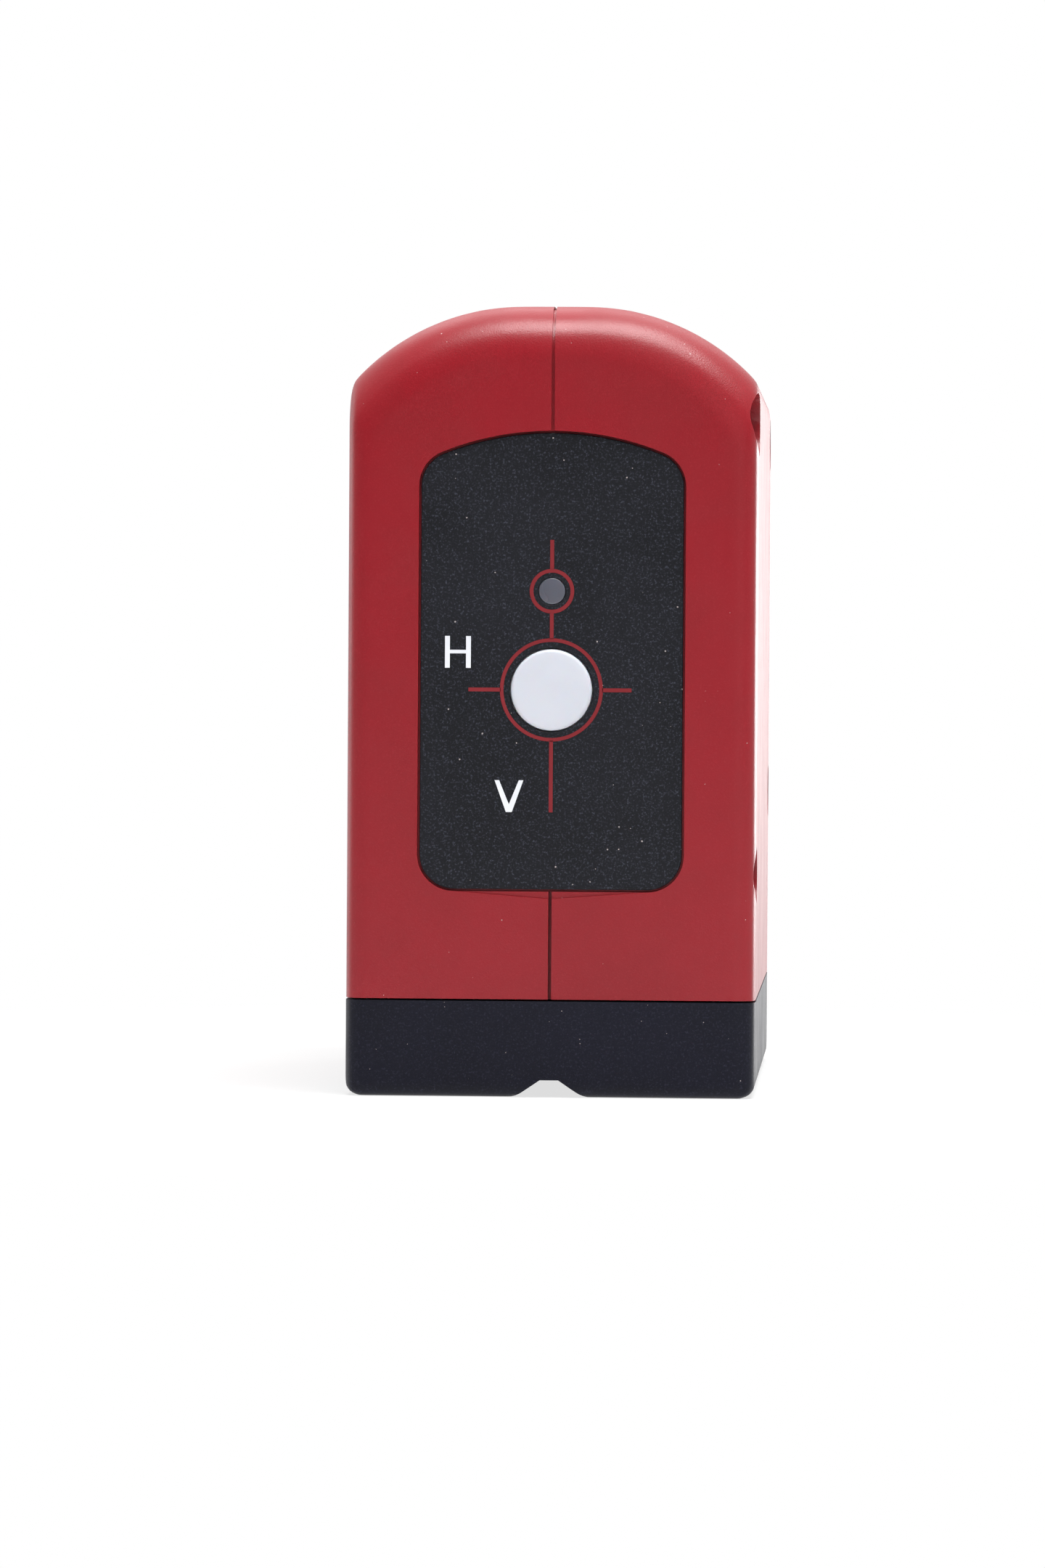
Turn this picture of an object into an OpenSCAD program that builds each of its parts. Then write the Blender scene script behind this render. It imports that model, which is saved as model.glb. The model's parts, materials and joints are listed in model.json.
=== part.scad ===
// Compact cross-line laser level.
// Frame: +X is the right side, the key panel faces -Y, the laser window faces +Y, +Z is up.
// Origin: centre of the base's resting face.

/* [Body] */
// Overall width across the two half shells
body_w = 55.5; // [50:0.5:70]
// Overall depth from the key panel face to the window face
body_d = 96; // [92:1:120]
// Overall height
body_h = 107; // [105:1:130]
// Wall thickness of the half shells
wall = 2.2; // [1.8:0.1:2.6]
// Radius of the arched top
arch_r = 31; // [30:0.5:45]
// Width of the level strip at the middle of the arch
arch_flat = 8.8; // [2:0.2:10]
// Rounding of the arch's front and back edges
crown_fillet = 7; // [4:0.5:10]
// Rounding of the upright edges
edge_r = 2.3; // [1:0.1:4]
// Rounding where the arch meets a side wall
shoulder_r = 2; // [1:0.1:4]
// Width of the shadow gap along the centre seam
seam_gap = 0.4; // [0.2:0.1:0.8]
// Depth of the shadow gap
seam_depth = 0.55; // [0.3:0.05:1]

/* [Base] */
// Height of the black base
base_h = 13; // [12:0.5:18]
// Gap between base and shells
base_gap = 0.25; // [0.15:0.05:0.5]
// Wall thickness of the base
base_wall = 2.2; // [1.8:0.1:3]
// Depth of the V-groove in the underside
groove_depth = 2.35; // [1.5:0.05:3]
// Width of the groove's flat roof
groove_roof_w = 2.5; // [1:0.1:5]
// Width of the groove at the underside
groove_mouth_w = 9.4; // [6:0.1:14]
// Outer diameter of the brass tripod insert
insert_d = 9.5; // [9:0.1:12]
// Length of the tripod insert
insert_l = 8.4; // [6:0.2:8.6]
// Bore of the tripod insert: the 1/4-20 thread's own diameter
tripod_bore_d = 6.35; // [6.35:0.01:6.4]

/* [Key panel] */
// Width of the label panel
panel_w = 35.4; // [30:0.2:38]
// Height of the label panel
panel_h = 61.5; // [58:0.5:64]
// Height of the panel's lower edge above the ground
panel_lo = 28.1; // [27:0.1:32]
// Radius of the panel's arched top
panel_arch_r = 39.5; // [30:0.5:60]
// Corner radius of the panel
panel_corner_r = 4.65; // [2:0.05:6]
// Thickness of the panel
panel_t = 0.8; // [0.5:0.1:1]
// Gap around the panel
panel_gap = 0.3; // [0.2:0.05:0.5]
// Depth of the recess that holds the panel
recess_depth = 1.1; // [1:0.05:1.2]
// Diameter of the key
key_d = 11; // [8:0.5:14]
// Height of the key's centre
key_z = 55; // [50:0.5:60]
// Travel of the key
key_travel = 0.5; // [0.3:0.05:0.6]
// Diameter of the status lamp's window
lamp_d = 3.6; // [3:0.1:5]
// Height of the status lamp's centre
lamp_z = 68.3; // [66:0.1:74]

/* [Case screws] */
// Distance of the screws from the panel face
screw_in = 5.15; // [4.8:0.05:7]
// Distance of the screws from the window face
screw_in_front = 7; // [6:0.1:9]
// Height of the upper screws
screw_hi = 91; // [88:0.5:93]
// Height of the lower rear screw
screw_lo = 30.1; // [28:0.1:34]
// Height of the lower front screw
screw_lo_front = 40; // [39:0.5:44]
// Diameter of the upper screw recesses
screw_pit_hi_d = 8.6; // [7:0.1:9]
// Diameter of the lower screw recesses
screw_pit_lo_d = 7.6; // [7:0.1:9]
// Depth of the screw recesses
screw_pit = 9; // [6:0.5:9]
// Thread diameter of the case screws
screw_d = 2.6; // [2:0.1:3]

/* [Laser window] */
// Width of the window bezel
window_w = 34; // [26:1:38]
// Height of the window bezel
window_h = 40; // [30:1:42]
// Height of the window's centre
window_z = 68; // [64:0.5:70]
// Visible width of the bezel's rim
bezel_rim = 4; // [3:0.5:6]
// Thickness of the glass
glass_t = 1.5; // [1:0.1:2]

/* [Batteries] */
// Diameter of an AA cell
cell_d = 14.5; // [13.5:0.1:14.5]
// Length of an AA cell with its nub
cell_l = 50.5; // [49.5:0.1:50.5]
// Wall of the battery tray
tray_wall = 1.2; // [1:0.1:1.6]
// Diameter of the door's hinge pin
door_pin_d = 1.6; // [1.2:0.1:2]
// Thickness of the battery door
door_t = 2; // [1.8:0.1:2.4]
// Opening angle of the battery door
door_open = 90; // [60:5:95]

/* [Gimbal and pendulum] */
// Distance of the gimbal from the middle of the body, towards the window
gimbal_y = 15; // [12:0.5:18]
// Height of the gimbal's axes above the shells' floor
gimbal_up = 70.55; // [68.55:0.5:72.55]
// Distance from the gimbal's axes to the pendulum's lowest point
pendulum_l = 46; // [44:0.5:48]
// Tilt of the pendulum either way
swing = 4.5; // [3:0.5:5]
// Diameter of the gimbal's axles
axle_d = 2; // [1.5:0.1:2.5]
// Outer diameter of the ball bearings
bearing_d = 5; // [4:0.5:6]
// Width of the ball bearings
bearing_w = 2.3; // [2:0.1:2.5]
// Width of the pendulum body
pendulum_w = 21; // [18:0.5:22]
// Depth of the pendulum body
pendulum_d = 18; // [14:0.5:20]
// Diameter of the laser barrels
barrel_d = 10; // [8:0.5:11]
// Length of the laser barrels
barrel_l = 26; // [22:0.5:28]
// Diameter of the copper damping plate
plate_d = 26; // [20:0.5:28]
// Thickness of the copper damping plate
plate_t = 1.5; // [1:0.1:2]
// Distance between the insides of the chassis cheeks
cheek_span = 35; // [34:0.5:36]
// Thickness of the chassis cheeks
cheek_t = 2.5; // [2:0.1:3]

/* [Pendulum lock] */
// Travel of the lock slide
lock_travel = 2.5; // [1.5:0.1:2.5]
// Thumb pad width
thumb_w = 14; // [10:0.5:16]
// Thumb pad height
thumb_h = 12; // [10:0.5:14]

/* [Hidden] */
$fn = 64;
eps = 0.01;
fit = 0.01; // pressed or cemented joints
run_gap = 0.03; // axles in their bearings
slide_gap = 0.1; // running gap beside moving pieces
loose_gap = 0.2; // gap round dropped-in pieces

half_w = body_w / 2;
back_y = -body_d / 2; // key panel face
front_y = body_d / 2; // window face
in_x = half_w - wall; // inside of a side wall
in_back = back_y + wall;
in_front = front_y - wall;
shell_lo = base_h + base_gap;
floor_z = shell_lo + wall; // inside of the shells' floor
gimbal_z = floor_z + gimbal_up;
arch_z = body_h - arch_r; // centre of the arch

// key panel
panel_hi = panel_lo + panel_h;
panel_floor_y = back_y + recess_depth;
panel_face_y = panel_floor_y - panel_t;
lip_drop = 1; // greatest depth of the relief under the panel
lip_step = 0.35;
key_hole_d = key_d + 0.6;
key_flange_d = key_d + 2;
key_flange_t = 0.8;
key_boss_d = 4;
lamp_flange_d = lamp_d + 1.4;

// circuit board
board_t = 1.6;
board_y = in_back + 6; // face towards the key panel
board_w = 27;
board_lo = 33;
board_h = 51.5;
board_boss_d = 5.5;
board_boss_x = 10.5;
board_boss_z = [board_lo + 4, board_lo + board_h - 4];
board_screw_d = 2;
switch_w = 6;
switch_h = 3.5;
plunger_d = 3.4;
plunger_l = 1.55;
lamp_led_d = 3;

// case screws: [y, z, recess diameter]
SCREWS = [
    [back_y + screw_in, screw_hi, screw_pit_hi_d],
    [back_y + screw_in, screw_lo, screw_pit_lo_d],
    [front_y - screw_in_front, screw_hi, screw_pit_lo_d],
    [front_y - screw_in_front, screw_lo_front, screw_pit_lo_d]
];
pit_x = half_w - screw_pit; // seat of the screw heads
pit_draft = 0.4;
boss_d = screw_d + 3.9;
screw_l = 26;
screw_head_d = 5;
screw_head_t = 1.9;

// battery bay
cell_x = cell_d / 2 + 0.35;
cell_z = floor_z + tray_wall + 0.2 + cell_d / 2;
tray_in = cell_x + cell_d / 2 + 0.25; // half width inside
tray_hi = cell_z + cell_d / 2 + 0.2;
tray_top = tray_hi + tray_wall;
hinge_r = door_t; // rounded foot of the door
hinge_y = front_y - door_t;
hinge_z = floor_z + 0.25 + hinge_r;
door_half = tray_in + 2.4;
door_top = tray_top + 0.65;
tray_mouth = hinge_y - hinge_r - 0.8;
cell_y1 = tray_mouth - 1.2; // outer end of the cells
cell_y0 = cell_y1 - cell_l;
contact_t = 0.4;
spring_back = 2.1; // pressed length of the inner spring
contact_y = cell_y0 - spring_back - contact_t;
tray_back = contact_y - tray_wall;
nub_d = 5.5;
nub_l = 1;
wire_d = 0.6;
hinge_pin_half = door_half + 2.6;
lead_d = 1.3;

// chassis and gimbal
chassis_lo = tray_top + 0.45;
chassis_floor = 2;
chassis_z = chassis_lo + chassis_floor;
cheek_in = cheek_span / 2;
cheek_out = cheek_in + cheek_t;
chassis_len = 30;
cheek_d = 16;
bridge_z = gimbal_z + 5.6;
bridge_t = 2.5;
chassis_fix = [[-5, -34], [5, -34], [0, -16]]; // [y, z] from the gimbal's axes
fix_boss_d = 6;
fix_screw_d = 2;
cross_w = 8;
cross_h = 6;
fork_in = cross_w / 2 + 0.2;
fork_t = 2.8;
block_hi = gimbal_z - 6;
block_lo = gimbal_z - 42;
tail_d = 8;
plate_z = block_lo - plate_t;
h_z = gimbal_z - 15;
v_z = gimbal_z - 30;
barrel_trim = 0.85; // the barrels sit this far forward, so that the pendulum hangs level
barrel_y0 = gimbal_y - barrel_l / 2 + barrel_trim;
barrel_y1 = barrel_y0 + barrel_l;
barrel_wall = 1.2;
line_lens_d = 3.4;
magnet_d = 8;
magnet_t = 4.6;
magnet_off = 7.8;

// pendulum lock
pad_gap = 0.3; // left between the locked pad and the tail
pad_t = 0.7;
pad_d = 5;
arm_t = 1;
arm_w = 6;
tail_z = gimbal_z - pendulum_l;
arm_top = tail_z - pad_gap - lock_travel - pad_t;
thumb_pit = 1.5;
thumb_t = 1.3;
thumb_z = arm_top - arm_t; // lower edge of the thumb pad, released
stem_h = 4;
stem_z = thumb_z + 4;
arm_x = -in_x + 2.6;
thumb_back = -half_w + thumb_pit - slide_gap;
sill_t = 1.5; // wall behind the thumb pad

// window: the pane stands in the wall, the bezel in a step outside it
window_r = 5;
bezel_t = 0.8;
gasket_t = 0.3;
window_step = 1.2;
pane_w = window_w - 4;
pane_h = window_h - 4;
bezel_y = front_y - window_step + gasket_t;

// base
base_floor = 2.4;
base_corner_r = 1.9;
base_end_r = 1.15;
groove_r = 4; // rounding of the groove's mouth
base_screw_x = 19;
base_screw_y = 36;
base_split = 7; // where the base's bosses meet the shells'
base_boss_d = 7.5;
base_head_z = 2; // seat of the base screws' heads
base_screw_l = 10;
base_magnet_d = 12;
base_magnet_t = 4;
base_magnet_z = 1;
base_magnet_x = 14.5;
base_magnet_y = 20;
insert_boss_d = 14;

// ---------- shared shapes ----------

// 2D (x, z) outline drawn along Y from y0 to y1
module along_y(y0, y1) translate([0, y1, 0]) rotate([90, 0, 0]) linear_extrude(y1 - y0) children();

// 2D (y, z) outline drawn along X from x0 to x1
module along_x(x0, x1) translate([x0, 0, 0]) rotate([90, 0, 90]) linear_extrude(x1 - x0) children();

module rod_x(x0, x1, y, z, d, d2 = undef) translate([x0, y, z]) rotate([0, 90, 0])
    cylinder(h = x1 - x0, d1 = d, d2 = is_undef(d2) ? d : d2);
module rod_y(y0, y1, x, z, d, d2 = undef) translate([x, y0, z]) rotate([-90, 0, 0])
    cylinder(h = y1 - y0, d1 = d, d2 = is_undef(d2) ? d : d2);
module rod_z(z0, z1, x, y, d, d2 = undef) translate([x, y, z0])
    cylinder(h = z1 - z0, d1 = d, d2 = is_undef(d2) ? d : d2);

module box(x0, x1, y0, y1, z0, z1) translate([x0, y0, z0]) cube([x1 - x0, y1 - y0, z1 - z0]);

// rectangle of w by h about the origin, with true round corners
module round_rect(w, h, r) {
    square([w, h - 2 * r], center = true);
    square([w - 2 * r, h], center = true);
    for (sx = [-1, 1], sy = [-1, 1]) translate([sx * (w / 2 - r), sy * (h / 2 - r)]) circle(r);
}

// what a round corner of radius r at c takes off between the directions 0 and a
module corner_trim(c, r, a) translate(c) difference() {
    polygon([[0, 0], [2 * r, 0], 3 * r * [cos(a / 2), sin(a / 2)], 2 * r * [cos(a), sin(a)]]);
    circle(r);
}

// height above the arch's centre at which a top corner of radius rt is centred
function corner_rise(w, r, flat, rt) = sqrt(pow(r - rt, 2) - pow(w / 2 - rt - flat / 2, 2));

module corner_trims(w, hi, r, flat, rt) {
    x = w / 2 - rt;
    rise = corner_rise(w, r, flat, rt);
    for (s = [0, 1]) mirror([s, 0]) corner_trim([x, hi - r + rise], rt, atan2(rise, x - flat / 2));
}

// upright outline with an arched top and four round corners
module arched(w, lo, hi, r, rt) difference() {
    intersection() {
        union() {
            translate([-w / 2, lo]) square([w, hi - r - lo]);
            translate([0, hi - r]) circle(r);
        }
        translate([-w / 2, lo]) square([w, hi - lo]);
    }
    corner_trims(w, hi, r, 0, rt);
    for (s = [0, 1]) mirror([s, 0]) translate([w / 2 - rt, lo + rt]) difference() {
        translate([0, -2 * rt]) square([2 * rt, 2 * rt]);
        circle(rt);
    }
}

// upper half of the crown's cross-section: radius r, length d, end roundings f
module crown_profile(r, d, f) {
    translate([0, -d / 2]) square([r - f, d]);
    translate([0, -d / 2 + f]) square([r, d - 2 * f]);
    for (s = [-1, 1]) translate([r - f, s * (d / 2 - f)]) circle(f);
}

// the body's outer form, moved inwards by t
module body_form(t, lo) {
    r = arch_r - t;
    d = body_d - 2 * t;
    w = body_w - 2 * t;
    f = crown_fillet - t;
    difference() {
        intersection() {
            union() {
                translate([0, 0, lo]) linear_extrude(arch_z - lo) round_rect(2 * r + arch_flat, d, f);
                for (s = [-1, 1]) translate([s * arch_flat / 2, 0, arch_z]) rotate([90, 0, 0])
                    rotate_extrude() crown_profile(r, d, f);
                translate([-arch_flat / 2, 0, arch_z]) rotate([0, -90, 180]) linear_extrude(arch_flat)
                    crown_profile(r, d, f);
            }
            translate([0, 0, lo]) linear_extrude(body_h - lo) round_rect(w, d, max(edge_r - t, 0.5));
        }
        along_y(back_y - 1, front_y + 1)
            corner_trims(w, body_h - t, r, arch_flat, max(shoulder_r - t, 0.5));
    }
}

// a screw that points along +Z with its head's seat at z = 0
module screw(d, l, head_d, head_t) {
    translate([0, 0, -fit]) cylinder(h = l + fit, d = d);
    difference() {
        translate([0, 0, -head_t]) cylinder(h = head_t, d = head_d);
        for (a = [0, 90]) rotate(a) translate([-head_d * 0.3, -head_d * 0.06, -head_t - eps])
            cube([head_d * 0.6, head_d * 0.12, head_t * 0.5]);
    }
}

// a closed tube swept along points, with n sides
function unit(v) = v / norm(v);
module swept(points, d, n = 8) {
    last = len(points) - 1;
    dirs = [for (i = [0 : last]) unit(points[min(i + 1, last)] - points[max(i - 1, 0)])];
    rings = [for (i = [0 : last])
        let (side = unit(cross(dirs[i], [0.31, 0.11, 0.94])), up = cross(dirs[i], side))
        for (k = [0 : n - 1]) points[i] + d / 2 * (cos(360 * k / n) * side + sin(360 * k / n) * up)];
    polyhedron(rings, concat(
        [[for (k = [0 : n - 1]) k]],
        [for (i = [0 : last - 1], k = [0 : n - 1])
            [i * n + k, (i + 1) * n + k, (i + 1) * n + (k + 1) % n, i * n + (k + 1) % n]],
        [[for (k = [n - 1 : -1 : 0]) last * n + k]]
    ));
}

// a tapered coil spring along Y, from y0 (wide end) to y1
module coil_spring(x, z, y0, y1, r0, r1, turns) {
    steps = turns * 14;
    swept([for (i = [0 : steps]) let (t = i / steps, r = r0 + (r1 - r0) * t, a = 360 * turns * t)
        [x + r * cos(a), y0 + (y1 - y0) * t, z + r * sin(a)]], wire_d, 6);
}

module bearing_ring() difference() {
    cylinder(h = bearing_w, d = bearing_d - 2 * fit);
    translate([0, 0, -eps]) cylinder(h = bearing_w + 2 * eps, d = axle_d + 2 * run_gap);
}

// ---------- shells ----------

// the form of the right half: cut back at the seam, hollow, with what both halves share
module half_skin() difference() {
    union() {
        intersection() {
            body_form(0, shell_lo);
            box(seam_gap / 2, body_w, back_y - 1, front_y + 1, 0, body_h + 1);
        }
        intersection() {
            body_form(seam_depth, shell_lo);
            box(0, seam_gap / 2 + eps, back_y - 1, front_y + 1, 0, body_h + 1);
        }
    }
    body_form(wall, floor_z);
}

// posts inside the right half; lip cuts are made afterwards
module half_posts() {
    for (z = board_boss_z) rod_y(in_back - 0.5, board_y, board_boss_x, z, board_boss_d);
    for (y = [-base_screw_y, base_screw_y])
        rod_z(base_split, shell_lo + 0.5, base_screw_x, y, base_boss_d);
    for (p = chassis_fix)
        rod_x(cheek_out, in_x + 0.5, gimbal_y + p[0], gimbal_z + p[1], fix_boss_d);
    box(door_half + loose_gap, hinge_pin_half + 0.9, hinge_y - 2.2, in_front + 0.5,
        floor_z - 0.5, hinge_z + hinge_r);
}

module half_cuts() {
    // recess for the label panel, and the relief under it
    along_y(back_y - 1, panel_floor_y) panel_outline(panel_gap);
    along_y(back_y - 1, back_y + lip_step) polygon([
        [-panel_w / 2 + panel_corner_r, panel_lo - panel_gap], [0, panel_lo - panel_gap - lip_drop],
        [panel_w / 2 - panel_corner_r, panel_lo - panel_gap], [0, panel_lo + 1]
    ]);
    rod_y(back_y - 1, in_back + 1, 0, key_z, key_hole_d);
    rod_y(back_y - 1, in_back + 1, 0, lamp_z, lamp_d + 2 * slide_gap);
    for (z = board_boss_z) rod_y(board_y - 5, board_y + 1, board_boss_x, z, board_screw_d);
    for (y = [-base_screw_y, base_screw_y])
        rod_z(base_split - 1, base_head_z + base_screw_l + 0.8, base_screw_x, y, screw_d);
    // laser window
    translate([0, 0, window_z]) {
        along_y(front_y - window_step, front_y + 1) round_rect(window_w, window_h, window_r);
        along_y(in_front - 1, front_y) round_rect(pane_w, pane_h, window_r - 2);
    }
    // battery door and its hinge pin
    box(-door_half - loose_gap, door_half + loose_gap, hinge_y - hinge_r - 1, front_y + 1,
        floor_z, door_top + loose_gap);
    rod_x(0, hinge_pin_half + 0.1, hinge_y, hinge_z, door_pin_d + 2 * fit);
}

module panel_outline(grow) arched(panel_w + 2 * grow, panel_lo - grow, panel_hi + grow,
    panel_arch_r + grow, panel_corner_r + grow);

module right_shell() color("firebrick") difference() {
    union() {
        half_skin();
        half_posts();
        // screw pillars, kept inside the outer form
        intersection() {
            for (s = SCREWS) {
                rod_x(0, pit_x, s[0], s[1], boss_d);
                rod_x(pit_x - 1.6, half_w, s[0], s[1], s[2] + 3);
            }
            body_form(wall / 2, shell_lo);
        }
        // locating pegs for the chassis
        for (p = chassis_fix)
            rod_x(cheek_out - 1.5, cheek_out + eps, gimbal_y + p[0], gimbal_z + p[1], fix_screw_d);
    }
    half_cuts();
    for (s = SCREWS) {
        rod_x(-1, pit_x + 1, s[0], s[1], screw_d + 0.4);
        rod_x(pit_x, half_w + 1, s[0], s[1], s[2] - pit_draft, s[2]);
    }
}

module left_shell() color("brown") difference() {
    union() {
        mirror([1, 0, 0]) {
            half_skin();
            half_posts();
        }
        intersection() {
            for (s = SCREWS) rod_x(-half_w, 0, s[0], s[1], boss_d);
            body_form(wall / 2, shell_lo);
        }
        // wall behind the thumb pad
        box(-in_x - 0.6, -half_w + thumb_pit + sill_t, gimbal_y - thumb_w / 2 - 2.5,
            gimbal_y + thumb_w / 2 + 2.5, thumb_z - 2, thumb_z + thumb_h + lock_travel + 2);
    }
    mirror([1, 0, 0]) half_cuts();
    for (s = SCREWS) rod_x(pit_x - screw_l - 1, 1, s[0], s[1], screw_d);
    for (p = chassis_fix)
        rod_x(-cheek_out - 5, -cheek_out + 1, gimbal_y + p[0], gimbal_z + p[1], fix_screw_d);
    // thumb pad's pit and the slot for its stem
    box(-half_w - 1, -half_w + thumb_pit, gimbal_y - thumb_w / 2 - 1, gimbal_y + thumb_w / 2 + 1,
        thumb_z - 0.5, thumb_z + thumb_h + lock_travel + 0.5);
    box(-half_w, -in_x + sill_t, gimbal_y - arm_w / 2 - loose_gap, gimbal_y + arm_w / 2 + loose_gap,
        stem_z - loose_gap, stem_z + stem_h + lock_travel + loose_gap);
}

module case_screws() color("dimgray") for (s = SCREWS)
    translate([pit_x, s[0], s[1]]) rotate([0, -90, 0]) screw(screw_d, screw_l, screw_head_d, screw_head_t);

// ---------- key panel ----------

module label_panel() color("#2c2c32") difference() {
    along_y(panel_face_y, panel_floor_y) panel_outline(0);
    rod_y(back_y, in_back, 0, key_z, key_d + 2 * loose_gap);
    rod_y(back_y, in_back, 0, lamp_z, lamp_d + slide_gap);
}

module lamp_window() color("slategray") {
    rod_y(panel_face_y, in_back + slide_gap, 0, lamp_z, lamp_d);
    rod_y(in_back, in_back + 0.8, 0, lamp_z, lamp_flange_d);
}

module status_lamp() color("white") {
    rod_y(board_y - 0.9, board_y, 0, lamp_z, lamp_led_d + 0.6);
    rod_y(board_y - 3.2, board_y - 0.5, 0, lamp_z, lamp_led_d);
    translate([0, board_y - 3.2, lamp_z]) sphere(d = lamp_led_d);
}

module key_cap() color("gainsboro") {
    rod_y(back_y, back_y + 0.35, 0, key_z, key_d - 0.7, key_d);
    rod_y(back_y + 0.35, in_back + slide_gap + eps, 0, key_z, key_d);
    rod_y(in_back + slide_gap, in_back + slide_gap + key_flange_t, 0, key_z, key_flange_d);
    rod_y(in_back + slide_gap, board_y - switch_h - 0.9, 0, key_z, key_boss_d);
}

module switch_plunger() color("black") rod_y(board_y - switch_h - 0.85,
    board_y - switch_h - 0.85 + plunger_l, 0, key_z, plunger_d);

module tact_switch() color("silver") difference() {
    box(-switch_w / 2, switch_w / 2, board_y - switch_h, board_y, key_z - switch_w / 2, key_z + switch_w / 2);
    rod_y(board_y - switch_h - 1, board_y - 2.1, 0, key_z, plunger_d + 2 * slide_gap);
}

module main_board() color("darkgreen") difference() {
    box(-board_w / 2, board_w / 2, board_y, board_y + board_t, board_lo, board_lo + board_h);
    for (sx = [-1, 1], z = board_boss_z) rod_y(board_y - 1, board_y + board_t + 1, sx * board_boss_x, z,
        board_screw_d + 0.3);
}

module board_components() color("#202020") {
    y = board_y + board_t;
    box(-4, 4, y, y + 1.2, key_z - 1, key_z + 7);
    box(-9, -5.5, y, y + 2, key_z + 12, key_z + 15);
    box(5, 9, y, y + 2.4, key_z + 10, key_z + 14);
    for (x = [-9, -6.5, 6.5, 9]) box(x - 0.6, x + 0.6, y, y + 0.7, key_z - 7, key_z - 5);
    rod_y(y, y + 5, 8, key_z + 2, 5);
    box(-4, 4, y, y + 4, board_lo + 5, board_lo + 9); // battery socket
    box(-3, 3, y, y + 4, board_lo + 44, board_lo + 48); // laser socket
}

module board_screws() color("dimgray") for (sx = [-1, 1], z = board_boss_z)
    translate([sx * board_boss_x, board_y + board_t, z]) rotate([90, 0, 0])
        screw(board_screw_d, 6, 3.8, 1.3);

// ---------- base ----------

module groove_outline() {
    slope = atan2(groove_depth, (groove_mouth_w - groove_roof_w) / 2);
    brink = groove_mouth_w / 2 + groove_r * tan(slope / 2); // where the underside starts to bend up
    side = concat([[brink, -1]],
        [for (i = [0 : 6]) [brink, groove_r] + groove_r * [-sin(slope * i / 6), -cos(slope * i / 6)]],
        [[groove_roof_w / 2, groove_depth]]);
    for (s = [0, 1]) mirror([s, 0]) polygon(concat([[-eps, -1]], side, [[-eps, groove_depth]]));
}

// an outline from z = 0 up whose lower corners are round
module bottomed(w, h, r) {
    translate([-w / 2, r]) square([w, h - r]);
    translate([-w / 2 + r, 0]) square([w - 2 * r, h]);
    for (s = [-1, 1]) translate([s * (w / 2 - r), r]) circle(r);
}

module base_housing() color("#26262d") difference() {
    union() {
        difference() {
            intersection() {
                linear_extrude(base_h) round_rect(body_w, body_d, edge_r);
                along_y(back_y - 1, front_y + 1) bottomed(body_w, base_h, base_corner_r);
                along_x(-half_w - 1, half_w + 1) bottomed(body_d, base_h, base_end_r);
            }
            translate([0, 0, base_floor]) linear_extrude(base_h)
                round_rect(body_w - 2 * base_wall, body_d - 2 * base_wall, 1);
        }
        // floor over the groove
        box(-groove_mouth_w / 2 - 2, groove_mouth_w / 2 + 2, -body_d / 2 + 1, body_d / 2 - 1,
            base_floor - eps, groove_depth + base_floor);
        rod_z(base_floor, groove_depth + insert_l + 1.2, 0, 0, insert_boss_d);
        for (sx = [-1, 1], sy = [-1, 1]) {
            rod_z(base_floor - eps, base_split, sx * base_screw_x, sy * base_screw_y, base_boss_d);
            rod_z(base_floor - eps, base_magnet_z + base_magnet_t - 0.5, sx * base_magnet_x,
                sy * base_magnet_y, base_magnet_d + 2.4);
        }
    }
    along_y(back_y - 1, front_y + 1) groove_outline();
    rod_z(0, groove_depth + insert_l, 0, 0, insert_d + 2 * fit);
    for (sx = [-1, 1], sy = [-1, 1]) {
        translate([sx * base_screw_x, sy * base_screw_y, 0]) {
            rod_z(-1, base_head_z, 0, 0, screw_head_d + 0.6);
            rod_z(-1, base_split + 1, 0, 0, screw_d + 0.4);
        }
        rod_z(base_magnet_z, base_h, sx * base_magnet_x, sy * base_magnet_y, base_magnet_d + 2 * fit);
    }
}

module base_screws() color("dimgray") for (sx = [-1, 1], sy = [-1, 1])
    translate([sx * base_screw_x, sy * base_screw_y, base_head_z])
        screw(screw_d, base_screw_l, screw_head_d, screw_head_t - 0.3);

module tripod_insert() color("goldenrod") difference() {
    rod_z(groove_depth, groove_depth + insert_l, 0, 0, insert_d);
    rod_z(0, groove_depth + insert_l + 1, 0, 0, tripod_bore_d);
}

module base_magnets() color("silver") for (sx = [-1, 1], sy = [-1, 1])
    rod_z(base_magnet_z, base_magnet_z + base_magnet_t, sx * base_magnet_x, sy * base_magnet_y,
        base_magnet_d);

// ---------- laser window ----------

module window_ring(w, h, hole_w, hole_h, y0, y1) translate([0, 0, window_z]) difference() {
    along_y(y0, y1) round_rect(w, h, window_r - loose_gap);
    along_y(y0 - 1, y1 + 1) round_rect(hole_w, hole_h, window_r - 2);
}

module window_gasket() color("dimgray") window_ring(window_w - 2 * loose_gap, window_h - 2 * loose_gap,
    pane_w, pane_h, front_y - window_step, bezel_y);

module window_bezel() color("#222226") window_ring(window_w - 2 * loose_gap, window_h - 2 * loose_gap,
    window_w - 2 * bezel_rim, window_h - 2 * bezel_rim, bezel_y, bezel_y + bezel_t);

module window_glass() color("lightcyan", 0.4) translate([0, 0, window_z])
    along_y(bezel_y - glass_t, bezel_y)
        round_rect(pane_w - 2 * loose_gap, pane_h - 2 * loose_gap, window_r - 2 - loose_gap);

// ---------- batteries ----------

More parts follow.
